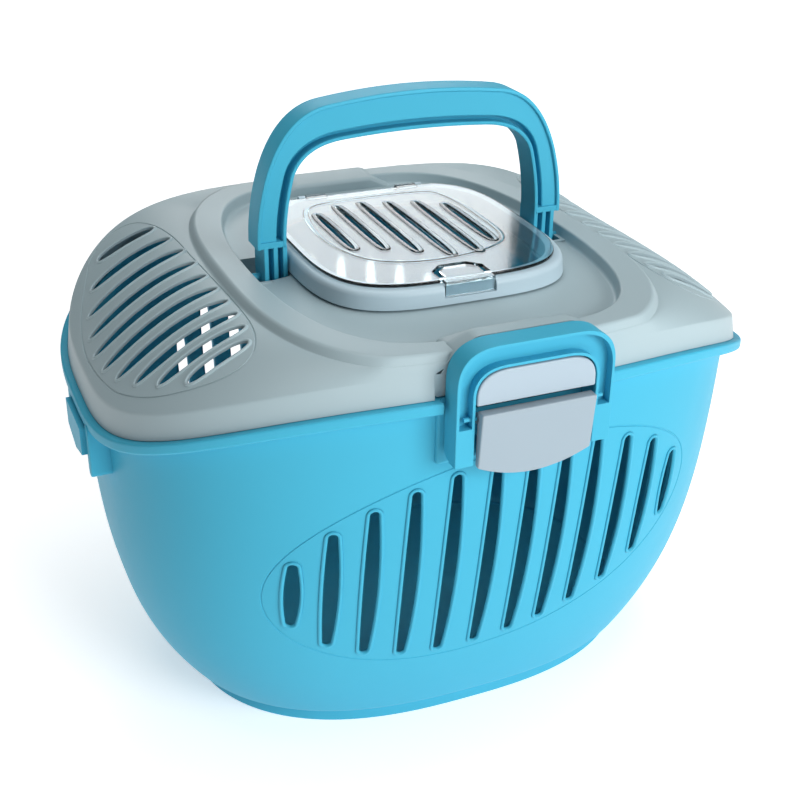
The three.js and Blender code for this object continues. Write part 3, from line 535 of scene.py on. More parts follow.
# %% Rim and tub ovals
RIM = oval(181, 139.4, (2.2, 2.7), (3.6, 3.4))
RIM_HEIGHT = 219
RIM_DIP = 39.5
RIM_DIP_SHARE = 3.3
SEAT_GAP = 0.3
TUB_WALL = 2.5
TUB_BOTTOM = 8.5
TUB_TOP = 216
TUB_CORNER = 5
FLOOR_HALF_LENGTH = 138.8
FLOOR_HALF_WIDTH = 98.5
FLOOR_CURVES = ((2.6, 2.2), (2.2, 3.1))
LENGTH_FLARE = 37.2
WIDTH_FLARE = 37.5
LENGTH_FLARE_SHARE = 4.7
WIDTH_FLARE_SHARE = 2.25
LIP_HEIGHT = 5.5
LIP_REACH = 4
LIP_UNDERCUT = 3
TONGUE_HEIGHT = 6
TONGUE_INSET = 1

dip_share = (abs(reach(RIM) * np.cos(TURN)) / RIM[0]) ** RIM_DIP_SHARE
rim_height = RIM_HEIGHT - RIM_DIP * dip_share


def tub_size(height):
    """The tub's oval at a height: half length, half width and its two curve shares."""
    share = np.clip((np.asarray(height, float) - TUB_BOTTOM) / (TUB_TOP - TUB_BOTTOM), 0, 1)
    front = [low + (high - low) * share ** 3 for low, high in zip(FLOOR_CURVES[0], RIM[2])]
    rear = [low + (high - low) * share ** 1.5 for low, high in zip(FLOOR_CURVES[1], RIM[3])]
    half_length = FLOOR_HALF_LENGTH + LENGTH_FLARE * (1 - (1 - share) ** LENGTH_FLARE_SHARE)
    half_width = FLOOR_HALF_WIDTH + WIDTH_FLARE * (1 - (1 - share) ** WIDTH_FLARE_SHARE)
    return half_length, half_width, front, rear


def tub_reach(height):
    return reach(tub_size(height))


def tub_rows(inset, rows, bottom):
    """Wall rings from a bottom height up to just under the lip."""
    top = rim_height - LIP_HEIGHT - LIP_UNDERCUT
    made = []
    for share in np.linspace(0, 1, rows):
        height = bottom + (top - bottom) * share
        made.append(ring(tub_reach(height) - inset, height))
    return made


def corner_rows(inset, radius, bottom, steps=7):
    made = []
    for turn in np.linspace(0, np.pi / 2, steps)[:-1]:
        height = bottom + radius * (1 - np.cos(turn))
        made.append(ring(tub_reach(height) - inset - radius * (1 - np.sin(turn)), height))
    return made


print("tub at its rim", RIM[0] * 2, "by", RIM[1] * 2)

# %% Tub shell
FOOT = oval(134.5, 94.5, *FLOOR_CURVES)
FOOT_INNER = grown(FOOT, -8)
FOOT_RECESS = 5
INSIDE_ROWS = 26
OUTSIDE_ROWS = 56
WALL_START = TUB_BOTTOM + TUB_CORNER

lip = reach(grown(RIM, LIP_REACH))
tongue = tub_reach(rim_height) - TONGUE_INSET
inner_top = tub_reach(rim_height) - TUB_WALL
foot_rings = softened([
    level_ring(FOOT_INNER, FOOT_RECESS), level_ring(FOOT_INNER, 0),
    level_ring(FOOT, 0), level_ring(FOOT, TUB_BOTTOM + 2),
], [0, 0.8, 1.6, 0])
outside = corner_rows(0, TUB_CORNER, TUB_BOTTOM) + tub_rows(0, OUTSIDE_ROWS, WALL_START)
inside = corner_rows(TUB_WALL, TUB_CORNER, TUB_BOTTOM) + tub_rows(TUB_WALL, INSIDE_ROWS, WALL_START)
lip_rings = softened([
    outside[-1],
    ring(lip, rim_height - LIP_HEIGHT), ring(lip, rim_height),
    ring(tongue, rim_height), ring(tongue, rim_height + TONGUE_HEIGHT),
    ring(inner_top, rim_height + TONGUE_HEIGHT),
    inside[-1],
], [0, 1.2, 1.3, 0.6, 0.5, 0.5, 0])
tub = skin("tub", foot_rings + outside[:-1] + lip_rings + inside[:-1][::-1])
outward(tub)
print("tub shell", len(tub.data.polygons))


# %% [markdown]
# ### The tub's surface as a function
# Slots, beads and the engraved oval all need the wall's depth and its outward direction at a
# place on the front. The wall's oval can be solved for that depth directly, and two small steps
# sideways and upwards give its slope.


# %% Front wall
def wall_depth(x, z, end):
    half_length, half_width, front, rear = tub_size(z)
    ends, sides = front if end < 0 else rear
    return half_width * np.clip(1 - (abs(x) / half_length) ** ends, 0, 1) ** (1 / sides)


def slopes(surface, u, v, step):
    """How steeply a surface, a function of two places, rises along each of them."""
    return ((surface(u + step, v) - surface(u - step, v)) / (2 * step),
            (surface(u, v + step) - surface(u, v - step)) / (2 * step))


def on_front(x, z, end):
    """Points of the front wall (or the back, with end 1) and its outward directions."""
    along, upward = slopes(lambda x, z: wall_depth(x, z, end), x, z, 0.2)
    points = np.stack([x, end * wall_depth(x, z, end), z], 1)
    return points, unit(np.stack([-along, np.full_like(x, end), -upward], 1))


GRILLE_SLOTS = 12
GRILLE_PITCH = 20.8
GRILLE_BEND = 190
GRILLE_HALF = (115.5, 62)
PANEL_HALF = (121, 65)
GRILLE_MIDDLE = 121
GRILLE_TILT = 0.107
SLOT_WIDTHS = {-1: 11, 1: 8}
GRILLE_BEAD = (1.9, 0.95, 3.2)
CUT_MARGIN = 0.12
SHORTER_BY = 6.3
SHORTER_FROM = -8
SHORTER_OVER = 70
GROOVE_RADIUS = 0.6
GROOVE_SIDES = 8
PANEL_STEPS = 220


def drawn_in(x):
    """The right half of the grille is a little shorter than the left half."""
    return x - SHORTER_BY * eased(np.clip((x - SHORTER_FROM) / SHORTER_OVER, 0, 1))


def grille_outline(number, margin, end):
    turn = (number - (GRILLE_SLOTS - 1) / 2) * GRILLE_PITCH / GRILLE_BEND
    x = GRILLE_BEND * math.sin(turn)
    half = GRILLE_HALF[1] * math.sqrt(1 - (x / GRILLE_HALF[0]) ** 2) + margin
    x = drawn_in(x)
    outline = pod(half, SLOT_WIDTHS[end] / 2 + margin, max(6, int(half / 3)))
    return np.stack([x - outline[:, 1], GRILLE_MIDDLE + GRILLE_TILT * x + outline[:, 0]], 1)


# %% Grille slots, beads and the engraved oval
def grille(end):
    """Cutters and beads of one wall: end is -1 at the front and 1 at the back."""
    cutters, beads = [], []
    for number in range(GRILLE_SLOTS):
        outline = grille_outline(number, CUT_MARGIN, end)
        cutters.append(prism("slot", outline * (-end, 1), *span(end, 60, 165), "front"))
        outline = grille_outline(number, 0, end)
        points, ups = on_front(-end * outline[:, 0], outline[:, 1], end)
        beads.append(swept("bead", points[::end], ups[::end], bead_section(*GRILLE_BEAD)))
    turn = np.linspace(0, 2 * np.pi, PANEL_STEPS, endpoint=False)
    x = drawn_in(PANEL_HALF[0] * np.cos(turn))
    z = GRILLE_MIDDLE + GRILLE_TILT * x + PANEL_HALF[1] * np.sin(turn)
    points, ups = on_front(-end * x, z, end)
    return cutters, beads, swept("groove", points, ups, circle(GROOVE_RADIUS, GROOVE_SIDES, (0, 0.15)))


front_cutters, front_beads, front_groove = grille(-1)
rear_cutters, rear_beads, rear_groove = grille(1)
combine(tub, [front_groove, rear_groove])
combine(tub, front_cutters + rear_cutters)
print("tub with its slots", len(tub.data.polygons))

# %% [markdown]
# ### Clasp seats and end ribs
# Behind each clasp the tub has a flat seat with two ears for the bail's pins, and the lip is
# notched to let the bail through. At both ends two ribs stand under the lip. These are plain
# moulded blocks, so they are prisms with rounded edges. The whole tub is dressed at the end.

# %% Seats, notches and ribs
ENDS = (-1, 1)
CLASP_HALF = 40.5
NOTCH_HALF = CLASP_HALF + 2.6
TONGUE_CUT_HALF = 46.4
SEAT = 136
SEAT_THICK = 5
SEAT_HALF = 43.7
SEAT_HEIGHTS = (184, 213.5)
BAIL_LEG = 9.5
BAIL_INNER = CLASP_HALF - BAIL_LEG
BAIL_PIVOT = (142, 194.5)
EAR_RADIUS = 4.5
EAR_THICK = 4
EAR_INNER = BAIL_INNER - 5.2
RIB_HEIGHTS = (147, 177)
RIB_RADIUS = 3.5
RIB_PLACE = 19.3 + RIB_RADIUS


def seat(end):
    pad = box("pad", -SEAT_HALF, SEAT_HALF, *span(end, SEAT, SEAT - SEAT_THICK), *SEAT_HEIGHTS)
    pieces = [rounded(pad, 1.6)]
    root = SEAT - SEAT_THICK / 2
    for side in ENDS:
        outline = [(BAIL_PIVOT[0] + EAR_RADIUS * math.sin(a), BAIL_PIVOT[1] - EAR_RADIUS * math.cos(a))
                   for a in np.linspace(0, np.pi, 13)]
        outline += [(root, BAIL_PIVOT[1] + EAR_RADIUS), (root, BAIL_PIVOT[1] - EAR_RADIUS)]
        outline = [(end * y, z) for y, z in outline]
        ear = prism("ear", outline, *span(side, EAR_INNER, EAR_INNER + EAR_THICK), "side")
        pieces.append(rounded(ear, 0.4))
    return pieces


combine(tub, [box("notch", -NOTCH_HALF, NOTCH_HALF, *span(end, 160, SEAT), 193.5, 240) for end in ENDS])
combine(tub, [box("notch", -TONGUE_CUT_HALF, TONGUE_CUT_HALF, *span(end, 170, 68), RIM_HEIGHT, 240)
              for end in ENDS])

ribs = []
for end in ENDS:
    for side in ENDS:
        outline = stadium((RIB_HEIGHTS[1] - RIB_HEIGHTS[0]) / 2, RIB_RADIUS)[:, ::-1]
        outline = outline + (side * RIB_PLACE, sum(RIB_HEIGHTS) / 2)
        rib = prism("rib", outline, *span(end, 168, 185), "side")
        ribs.append(rounded(rib, 0.9))

tub = joined("tub", [tub] + front_beads + rear_beads + seat(-1) + seat(1) + ribs)
dress(tub, "base", blue_plastic, ["base_tub"])

# %% [markdown]
# ## Lid
# The lid is one gray moulding. Outside in, it has a short side wall, long slopes down to both
# ends, a flat raised ring, and a moat with sloping floor round the hatch. The slopes carry ten
# slots each, inside a fine engraved outline. It is made as the tub is, from rings.

# %% Lid rings
LID_DRAFT = 2
LID_WALL = 1.1
LID_SIDE = 12.7
LID_SIDE_GAIN = 1.4
LID_SHOULDER = 236
LID_FALL_SHARE = 1.7
REAR_CREASE = 239
REAR_CREASE_DIP = 46.6
REAR_CREASE_SHARE = 5
REAR_BLEND = 70
RING_TOP = 240.2
RING_RAMP = 3
MOAT_DEPTH = 7
MOAT_DRAFT = 1
OPENING_TOP = 236.9
LID_EDGE = grown(RIM, -LID_DRAFT)
RING_OVAL = oval(105.2, 139.5, (3.3, 2.8))
MOAT = oval(91.5, 122.1, (4.1, 2.3))
OPENING = oval(61, 68.4, (3.7, 3.5))


def lid_plan(angle=TURN):
    """Edge and ring foot in each direction, with the heights of the slope's two ends."""
    edge = reach(LID_EDGE, angle)
    foot = np.minimum(reach(RING_OVAL, angle) + RING_RAMP, edge - RING_RAMP / 2)
    rim = reach(RIM, angle)
    far = abs(rim * np.cos(angle)) / RIM[0]
    front = RIM_HEIGHT + LID_SIDE - (RIM_DIP - LID_SIDE_GAIN) * far ** RIM_DIP_SHARE
    rear = REAR_CREASE - REAR_CREASE_DIP * far ** REAR_CREASE_SHARE
    crease = front + (rear - front) * eased(np.clip(rim * np.sin(angle) / REAR_BLEND, 0, 1))
    return edge, foot, np.maximum(LID_SHOULDER, crease + 0.3), crease


edge, ring_foot, shoulder, crease = lid_plan()
ring_reach = np.minimum(reach(RING_OVAL), edge - RING_RAMP)


def slope_ring(share, sink):
    out = ring_foot + (edge - ring_foot) * share
    return ring(out, shoulder - (shoulder - crease) * share ** LID_FALL_SHARE - sink)


def lid_rings(sink, rows):
    return [
        level_ring(OPENING, OPENING_TOP - sink),
        level_ring(grown(MOAT, sink - MOAT_DRAFT), RING_TOP - MOAT_DEPTH - sink),
        level_ring(grown(MOAT, sink), RING_TOP - sink),
        ring(ring_reach - sink, RING_TOP - sink),
        ring(ring_foot - sink, shoulder - sink),
        *[slope_ring(share, sink) for share in np.linspace(0, 1, rows)[1:-1]],
        ring(edge - sink, crease - sink),
        ring(reach(RIM) - sink, rim_height + SEAT_GAP),
    ]


LID_ROWS = 34
LID_INSIDE_ROWS = 12
radii = [0, 2.2, 1.3, 1.6, 1.4] + [0] * (LID_ROWS - 2) + [1.5, 0]
outside = softened(lid_rings(0, LID_ROWS), radii)
lid = skin("lid", outside + lid_rings(LID_WALL, LID_INSIDE_ROWS)[::-1], closed=True)
outward(lid)
print("lid shell", len(lid.data.polygons))

# %% [markdown]
# ### Vents
# Each end of the lid has ten slots along X that follow a bow at their outer ends. They narrow to
# both ends and each has a low bead. The slope is a function of place, so beads and the engraved
# outline are swept over it like those on the tub.


# %% Slope as a function
def slope_height(x, y):
    far, near, high, low = lid_plan(np.arctan2(y, x))
    share = np.clip((np.hypot(x, y) - near) / (far - near), 0, 1)
    return high - (high - low) * share ** LID_FALL_SHARE


def on_slope(x, y):
    """Points of the slope and its upward directions."""
    along, backward = slopes(slope_height, x, y, 0.3)
    points = np.stack([x, y, slope_height(x, y)], 1)
    return points, unit(np.stack([-along, -backward, np.ones_like(x)], 1))


VENT_SLOTS = 10
FIRST_VENT = -76.5
VENT_PITCH = 13.2
VENT_PITCH_GAIN = 0.62
VENT_INNER = 111.6
VENT_OUTER = 172.3
VENT_WIDTH = 8
VENT_WIDTH_GAIN = 0.3
VENT_BEAD = (1.8, 0.85, 0.9)
VENT_MARGIN = 0.1


def vent_outline(number, margin):
    """One slot. The slots stand wider apart and are wider at the back."""
    share = (number - (VENT_SLOTS - 1) / 2) / ((VENT_SLOTS - 1) / 2)
    y = FIRST_VENT + VENT_PITCH * number + VENT_PITCH_GAIN * number ** 2
    inner = VENT_INNER + 2.2 * share + 4.8 * share ** 4
    outer = VENT_OUTER + 3.7 * share - 24.4 * share ** 2
    half_width = (VENT_WIDTH + VENT_WIDTH_GAIN * number) / 2
    return leaf((outer - inner) / 2 + margin, half_width + margin) + ((inner + outer) / 2, y)


def vent_panel_outline():
    """The fine line round all ten slots, a few millimetres outside their ends."""
    outer = [(175.5 - 0.0024 * (y - 5) ** 2, y) for y in (-44, -22, 5, 30, 57, 82)]
    rear = [(153, 103), (141, 113), (127, 113), (118, 98)]
    inner = [(108.2 + 0.045 * (y + 40), y) for y in (72, 40, 5, -30)]
    front = [(108.3, -60), (111.5, -79), (119, -89.5), (132, -89), (147, -79.5), (160, -65)]
    return smooth_loop(outer + rear + inner + front, 10)


# %% Vent slots, beads and engraved outlines
cutters, vent_beads, grooves = [], [], []
for end in ENDS:
    for number in range(VENT_SLOTS):
        cutters.append(prism("slot", vent_outline(number, VENT_MARGIN) * (end, 1), 150, 260))
        outline = vent_outline(number, 0) * (end, 1)
        points, ups = on_slope(outline[:, 0], outline[:, 1])
        vent_beads.append(swept("bead", points[::end], ups[::end], bead_section(*VENT_BEAD)))
    outline = vent_panel_outline() * (end, 1)
    points, ups = on_slope(outline[:, 0], outline[:, 1])
    grooves.append(swept("groove", points, ups, circle(GROOVE_RADIUS, GROOVE_SIDES, (0, 0.1))))

# %% [markdown]
# ### Pockets and bosses
# Two pockets in the moat take the handle's feet. At the front and back a boss rises behind the
# clasp and a recess lets the bail lie flush. The boss is a prism between its sloping rear and
# its upright front face, with soft edges.


# %% Pockets and bosses
BOSS_HALF = NOTCH_HALF + 2.3
BOSS_TOPS = {-1: 246.5, 1: 241.5}
BOSS_BOTTOM = RIM_HEIGHT + SEAT_GAP
BOSS_SHOULDER = 226
POCKET = (70.9, 88.6, -10, 24.5)
POCKET_WALL = 2.2
POCKET_FLOOR = 222.5
RECESS_HALF = NOTCH_HALF + 2.6
RECESS_FACE = 134.8


def boss(end):
    high = BOSS_TOPS[end]
    half = [(BOSS_HALF, BOSS_BOTTOM), (BOSS_HALF, BOSS_SHOULDER), (36, high - 6.5), (24.5, high)]
    outline = half + [(-x, z) for x, z in half[::-1]]
    rows = []
    for depth, top in ((RIM[1], high), (126, high), (116, RING_TOP)):
        rows.append(np.array([(x, end * depth, min(z, top)) for x, z in outline]))
    made = skin("boss", rows)
    outward(made)
    return rounded(made, 2.2, 4, 20)


def pocket(side, grow, low, high):
    near, far, front, rear = POCKET
    left, right = span(side, near - grow, far + grow)
    return box("pocket", left, right, front - grow, rear + grow, low, high)


combine(lid, grooves)
combine(lid, [pocket(side, POCKET_WALL, POCKET_FLOOR - POCKET_WALL, 234.5) for side in ENDS], "UNION")
combine(lid, [boss(end) for end in ENDS], "UNION")
combine(lid, [box("recess", -RECESS_HALF, RECESS_HALF, *span(end, 165, RECESS_FACE), 199, 270)
              for end in ENDS])
combine(lid, cutters)
combine(lid, [rounded(pocket(side, 0, POCKET_FLOOR, 262), 1.2) for side in ENDS])
catches = [rounded(box("catch", -16, 16, *span(end, 137.6, 133.6), 228.6, 232.6), 0.5) for end in ENDS]
lid = joined("lid", [lid] + vent_beads + catches)
dress(lid, "lid", gray_plastic, ["lid_shell"])

# %% [markdown]
# ## Hatch frame
# A gray frame stands round the opening, with a softly rounded top edge, a notch at the front for
# the latch and a trough at the back for the hinge. Four rings make it, closed end to start.

# %% Hatch frame
FRAME = oval(70, 77.4, (3.7, 3.5))
FRAME_INNER = grown(FRAME, -8)
FRAME_TOP = 246.6
FRAME_BOTTOM = 237.2
FRAME_DRAFT = 0.8
HINGE = (71.6, FRAME_TOP)
BARREL_RADIUS = 2.4
TROUGH_RADIUS = 3
TROUGH_HALF = 34.3
HINGE_EAR = 4
LATCH_NOTCH_HALF = 14.1
ABOVE = 266

hatch_frame = skin("hatch_frame_ring", softened([
    level_ring(FRAME_INNER, FRAME_TOP), level_ring(FRAME_INNER, FRAME_BOTTOM),
    level_ring(grown(FRAME, FRAME_DRAFT), FRAME_BOTTOM), level_ring(FRAME, FRAME_TOP),
], [0.5, 0, 0, 3.2], 7), closed=True)
outward(hatch_frame)
combine(hatch_frame, [prism("trough", circle(TROUGH_RADIUS, 32, HINGE), -TROUGH_HALF, TROUGH_HALF, "side")])
combine(hatch_frame, [box("trough_top", -TROUGH_HALF, TROUGH_HALF, HINGE[0] - TROUGH_RADIUS,
                          HINGE[0] + TROUGH_RADIUS, FRAME_TOP, ABOVE)])
combine(hatch_frame, [box("notch", -LATCH_NOTCH_HALF, LATCH_NOTCH_HALF, -97.4, -75.5, 240.6, ABOVE)])
ears = []
for end in ENDS:
    outline = arc(BARREL_RADIUS, np.linspace(0, np.pi, 15), HINGE)
    outline += [(HINGE[0] - BARREL_RADIUS, HINGE[1] - BARREL_RADIUS),
                (HINGE[0] + BARREL_RADIUS, HINGE[1] - BARREL_RADIUS)]
    ear = prism("ear", outline, *span(end, TROUGH_HALF, TROUGH_HALF + HINGE_EAR), "side")
    ears.append(rounded(ear, 0.3))
hatch_frame = joined("hatch_frame_ring", [hatch_frame] + ears)
dress(hatch_frame, "lid", frame_gray, ["hatch_frame"])

# %% [markdown]
# ## Hatch door
# The door is a clear sheet with six slots that narrow to their ends, each inside a low bead, and
# a fine raised line round them all. Two barrels at the back turn on the pins, and a tab at the
# front hooks over the frame. Glass-like pieces need real thickness, so all of it is solid.


# %% Door sheet, slots and raised line
DOOR_BOTTOM = FRAME_TOP + SEAT_GAP
DOOR_TOP = DOOR_BOTTOM + 1.8
DOOR_REAR = 68.5
SLOT_XS = (-38.6, -23.5, -8.8, 5.9, 21.3, 35.3)
SLOT_REARS = (36.5, 46, 46.4, 42, 37.6, 28.3)
SLOT_FRONTS = (-15.5, -20.6, -30, -40.3, -40.9, -28.6)
DOOR_BEAD = (2.6, 0.35, 1.2)


def on_door(outline):
    """An outline on the door's upper face, and its upward directions."""
    points = np.column_stack([outline, np.full(len(outline), DOOR_TOP)])
    return points, np.tile((0.0, 0.0, 1.0), (len(outline), 1))


door_outline = level_ring(grown(FRAME, -4), 0)[:, :2]
door_outline = door_outline[door_outline[:, 1] < DOOR_REAR]
start = int(np.argmax(np.linalg.norm(np.roll(door_outline, -1, 0) - door_outline, axis=1))) + 1
door_outline = np.roll(door_outline, -start, 0)
door = rounded(prism("door", door_outline, DOOR_BOTTOM, DOOR_TOP), 0.5, 3, 50)

island = smooth_loop([(-38, 53), (-11, 58), (21, 58), (40, 50), (45, 8), (39, -33), (0, -46), (-32, -38),
                      (-46, -12), (-47, 26)], 14)
low_ridge = [(-1.6, -0.3), (-1.1, 0.12), (0, 0.25), (1.1, 0.12), (1.6, -0.3)]
door_beads = [swept("bead", *on_door(island), low_ridge)]
door_cutters = []
for x, rear, front in zip(SLOT_XS, SLOT_REARS, SLOT_FRONTS):
    along, across = leaf((rear - front) / 2 + 3, 1.9).T
    outline = np.stack([x - across, (rear + front) / 2 + along], 1)
    door_cutters.append(prism("slot", outline, 230, 262))
    door_beads.append(swept("bead", *on_door(outline), bead_section(*DOOR_BEAD)))
bend = [(-14, -70.5), (-14, -61), (-7.5, -54.5), (7.5, -54.5), (14, -61), (14, -70.5),
        (10.4, -70.5), (10.4, -62.3), (6, -58), (-6, -58), (-10.4, -62.3), (-10.4, -70.5)]
door_cutters.append(prism("bend", bend, 230, 262))
combine(door, door_cutters)

# %% Door barrels and tab
BARREL_PLACE = 28
BARREL_HALF = 6
TAB_HALF = 13.5

parts = [door] + door_beads
for end in ENDS:
    left, right = end * BARREL_PLACE - BARREL_HALF, end * BARREL_PLACE + BARREL_HALF
    barrel = prism("barrel", circle(BARREL_RADIUS, 28, HINGE), left, right, "side")
    parts.append(rounded(barrel, 0.3))
    parts.append(box("web", left, right, 66.2, 71, DOOR_BOTTOM + 0.1, DOOR_TOP - 0.1))
tab = prism("tab", [(-77.4, 241), (-75.8, 241), (-75.8, DOOR_BOTTOM + 0.1), (-72.5, DOOR_BOTTOM + 0.1),
                    (-72.5, DOOR_TOP), (-77.4, DOOR_TOP)], -TAB_HALF, TAB_HALF, "side")
parts.append(rounded(tab, 0.4))
door = joined("door", parts)
dress(door, "hatch", clear_sheet, ["hatch_door"])

# %% [markdown]
# ## Handle
# The handle is a deep U. Its back has a wide groove and its front a shallow face with a narrow
# slot beside the inner rim. The same section is carried along two lines, the outer and the inner
# edge of the U, and stretched between them, which keeps both rims at their own width everywhere.


# %% Paired lines
def curve(start, bend, end, steps, last=False):
    """Points of a quadratic curve."""
    share = np.linspace(0, 1, steps, endpoint=last)[:, None]
    start, bend, end = (np.array(point, float) for point in (start, bend, end))
    return start * (1 - share) ** 2 + bend * 2 * share * (1 - share) + end * share ** 2


def mirrored(half):
    """A line from the right foot to the middle, and on to the left foot."""
    return np.concatenate([half, (half * (-1, 1))[::-1][1:]])


LEG_BOTTOM = 251
outer_line = mirrored(np.concatenate([
    curve((87.6, LEG_BOTTOM), (87.6, 269.5), (81.9, 288), 14),
    curve((81.9, 288), (72, 318), (50, 322), 18),
    curve((50, 322), (25, 325.7), (0, 325.7), 16, True)]))
inner_line = mirrored(np.concatenate([
    curve((71.7, LEG_BOTTOM), (71.7, 269.5), (66.5, 288), 14),
    curve((66.5, 288), (60.5, 302), (40, 303.6), 18),
    curve((40, 303.6), (20, 305.2), (0, 305.2), 16, True)]))


# %% Handle channel
HANDLE_HALF = 8.5
HANDLE_RIM = 2.1
SLOT_DEPTH = -1.0
REAR_DEPTH = 3.0
SLOT_ACROSS = 3
FACE_DEPTH = 1.6


def handle_section(width):
    """The section, from the outer edge (0) to the inner edge (width); the front is negative."""
    half, rim, rear, front = HANDLE_HALF, HANDLE_RIM, REAR_DEPTH, SLOT_DEPTH
    inner = width - rim
    edge_round = [(0.9, -half), (0.25, -half + 0.35), (0, -half + 1.2), (0, half - 1.2),
                  (0.25, half - 0.35), (0.9, half)]
    rear_groove = [(rim - 0.5, half), (rim, half - 0.5), (rim, rear + 0.8), (rim + 0.8, rear),
                   (inner - 0.8, rear), (inner, rear + 0.8), (inner, half - 0.5), (inner + 0.5, half)]
    far_edge = [(width - across, up) for across, up in edge_round[::-1]]
    slot = inner - SLOT_ACROSS
    face = -half + FACE_DEPTH
    front_groove = [(inner + 0.4, -half), (inner, -half + 0.4), (inner, front - 0.6), (inner - 0.6, front),
                    (slot + 0.6, front), (slot, front - 0.6), (slot, face + 0.5), (slot - 0.5, face),
                    (rim + 0.4, face), (rim, face - 0.4), (rim, -half + 0.4), (rim - 0.4, -half)]
    return edge_round + rear_groove + far_edge + front_groove


handle_rings = []
for outer, inner in zip(outer_line, inner_line):
    width = float(np.linalg.norm(inner - outer))
    across = (inner - outer) / width
    handle_rings.append(np.array([(outer[0] + across[0] * u, y, outer[1] + across[1] * u)
                                  for u, y in handle_section(width)]))
handle = skin("handle_grip", handle_rings)
outward(handle)

# %% Sills and ribbed feet
HANDLE_PIVOT = 233.4
FOOT_TOP = 252
FOOT_RIBS = (71.7, 76.75, 81.8)
FOOT_RIB_THICK = 2.4

parts = [handle]
for end in ENDS:
    parts.append(rounded(box("sill", *span(end, 73, 86.4), -8.3, 8.3, LEG_BOTTOM, 254.2), 0.35))
    parts.append(box("core", *span(end, 72.5, 83.4), -2.5, 2.5, 231, FOOT_TOP))
    for near in FOOT_RIBS:
        outline = arc(HANDLE_HALF, np.linspace(np.pi, 2 * np.pi, 21), (0, HANDLE_PIVOT))
        outline += [(HANDLE_HALF, FOOT_TOP), (-HANDLE_HALF, FOOT_TOP)]
        rib = prism("rib", outline, *span(end, near, near + FOOT_RIB_THICK), "side")
        parts.append(rounded(rib, 0.45))
handle = joined("handle_grip", parts)
dress(handle, "handle", blue_plastic, ["handle"])

# %% [markdown]
# ## Clasps
# A clasp is a blue hoop, the bail, with a deep groove round its face, a gray insert in its
# window and a gray lever below that. All three are outlines pulled straight back and rounded.
# The rear clasp is the front one turned half round, with a lower top.


# %% Bail outline
def arch(half, bottom, shoulder, top, top_half):
    """An arch's line from its foot on the right, over the top and down to its foot on the left."""
    right = np.concatenate([
        [(half, bottom)], curve((half, shoulder), (half, top), (top_half, top), 16, True)])
    return np.concatenate([right, (right * (-1, 1))[::-1]])


def hoop(outer, inner, bottom, top, shoulder, top_half, bar, inner_top_half):
    """A hoop open at the bottom: over the outside and back under the inside."""
    outside = arch(outer, bottom, shoulder, top, top_half)
    inside = arch(inner, bottom, shoulder - bar / 2, top - bar, inner_top_half)
    return np.concatenate([outside, inside[::-1]])


BAIL_FRONT = 149
BAIL_REAR = 136.3
BAIL_BOTTOM = 188
BAIL_TOPS = {-1: (247, 11.5), 1: (234, 8)}
BAIL_CORNER = 19
HEEL_RADIUS = 5.7
RIM_BAND = 1.5
GROOVE_DEPTH = 5
GROOVE_BOTTOM = 207.5


def bail(end):
    top, bar = BAIL_TOPS[end]
    outline = hoop(CLASP_HALF, BAIL_INNER, BAIL_BOTTOM, top, top - BAIL_CORNER, 20, bar, 15.3)
    made = prism("bail", outline * (-end, 1), *span(end, BAIL_REAR, BAIL_FRONT), "front")
    behind, below = BAIL_REAR - 1, BAIL_BOTTOM - 1
    heel = [(behind, below), (BAIL_PIVOT[0], below), (BAIL_PIVOT[0], BAIL_PIVOT[1] - HEEL_RADIUS)]
    heel += [(BAIL_PIVOT[0] - HEEL_RADIUS * math.sin(a), BAIL_PIVOT[1] - HEEL_RADIUS * math.cos(a))
             for a in np.linspace(0, np.pi / 2, 9)]
    heel = [(end * y, z) for y, z in heel + [(behind, BAIL_PIVOT[1])]]
    combine(made, [prism("heel", heel, -60, 60, "side")])
    made = rounded(made, 1.1, 4)
    outline = hoop(CLASP_HALF - RIM_BAND, BAIL_INNER + RIM_BAND, GROOVE_BOTTOM, top - RIM_BAND,
                   top - BAIL_CORNER - RIM_BAND, 20 - RIM_BAND, bar - RIM_BAND * 2, 15.5)
    groove = prism("groove", outline * (-end, 1), *span(end, BAIL_FRONT - GROOVE_DEPTH, 170), "front")
    combine(made, [groove])
    return made


INSERT_BOTTOM = 218.4
INSERT_GAP = 0.6


def insert(end):
    half = BAIL_INNER - INSERT_GAP
    top = BAIL_TOPS[end][0] - BAIL_TOPS[end][1] - INSERT_GAP
    corner = INSERT_BOTTOM + 0.2 + 0.24 * (top - INSERT_BOTTOM)
    right = curve((half, corner), (half, top), (14.5, top), 14, True)
    foot = [(-half, INSERT_BOTTOM), (half, INSERT_BOTTOM)]
    outline = np.concatenate([foot, right, (right * (-1, 1))[::-1]])
    made = prism("insert", outline * (-end, 1), *span(end, BAIL_FRONT - 5.7, BAIL_FRONT + 0.3), "front")
    return rounded(made, 0.9, 4)


# %% Lever
LEVER_HALF = 29.5
LEVER_BOTTOM = 179.6
LEVER_CORNER = 187
LEVER_TOP = 215.5
LEVER_FULL_DEPTH = 209
LEVER_FACES = (150.2, 153.4)
LEVER_DEPTH = 6
LEVER_WALL = 2.2
LEVER_PIVOT = (146.6, 211.5)


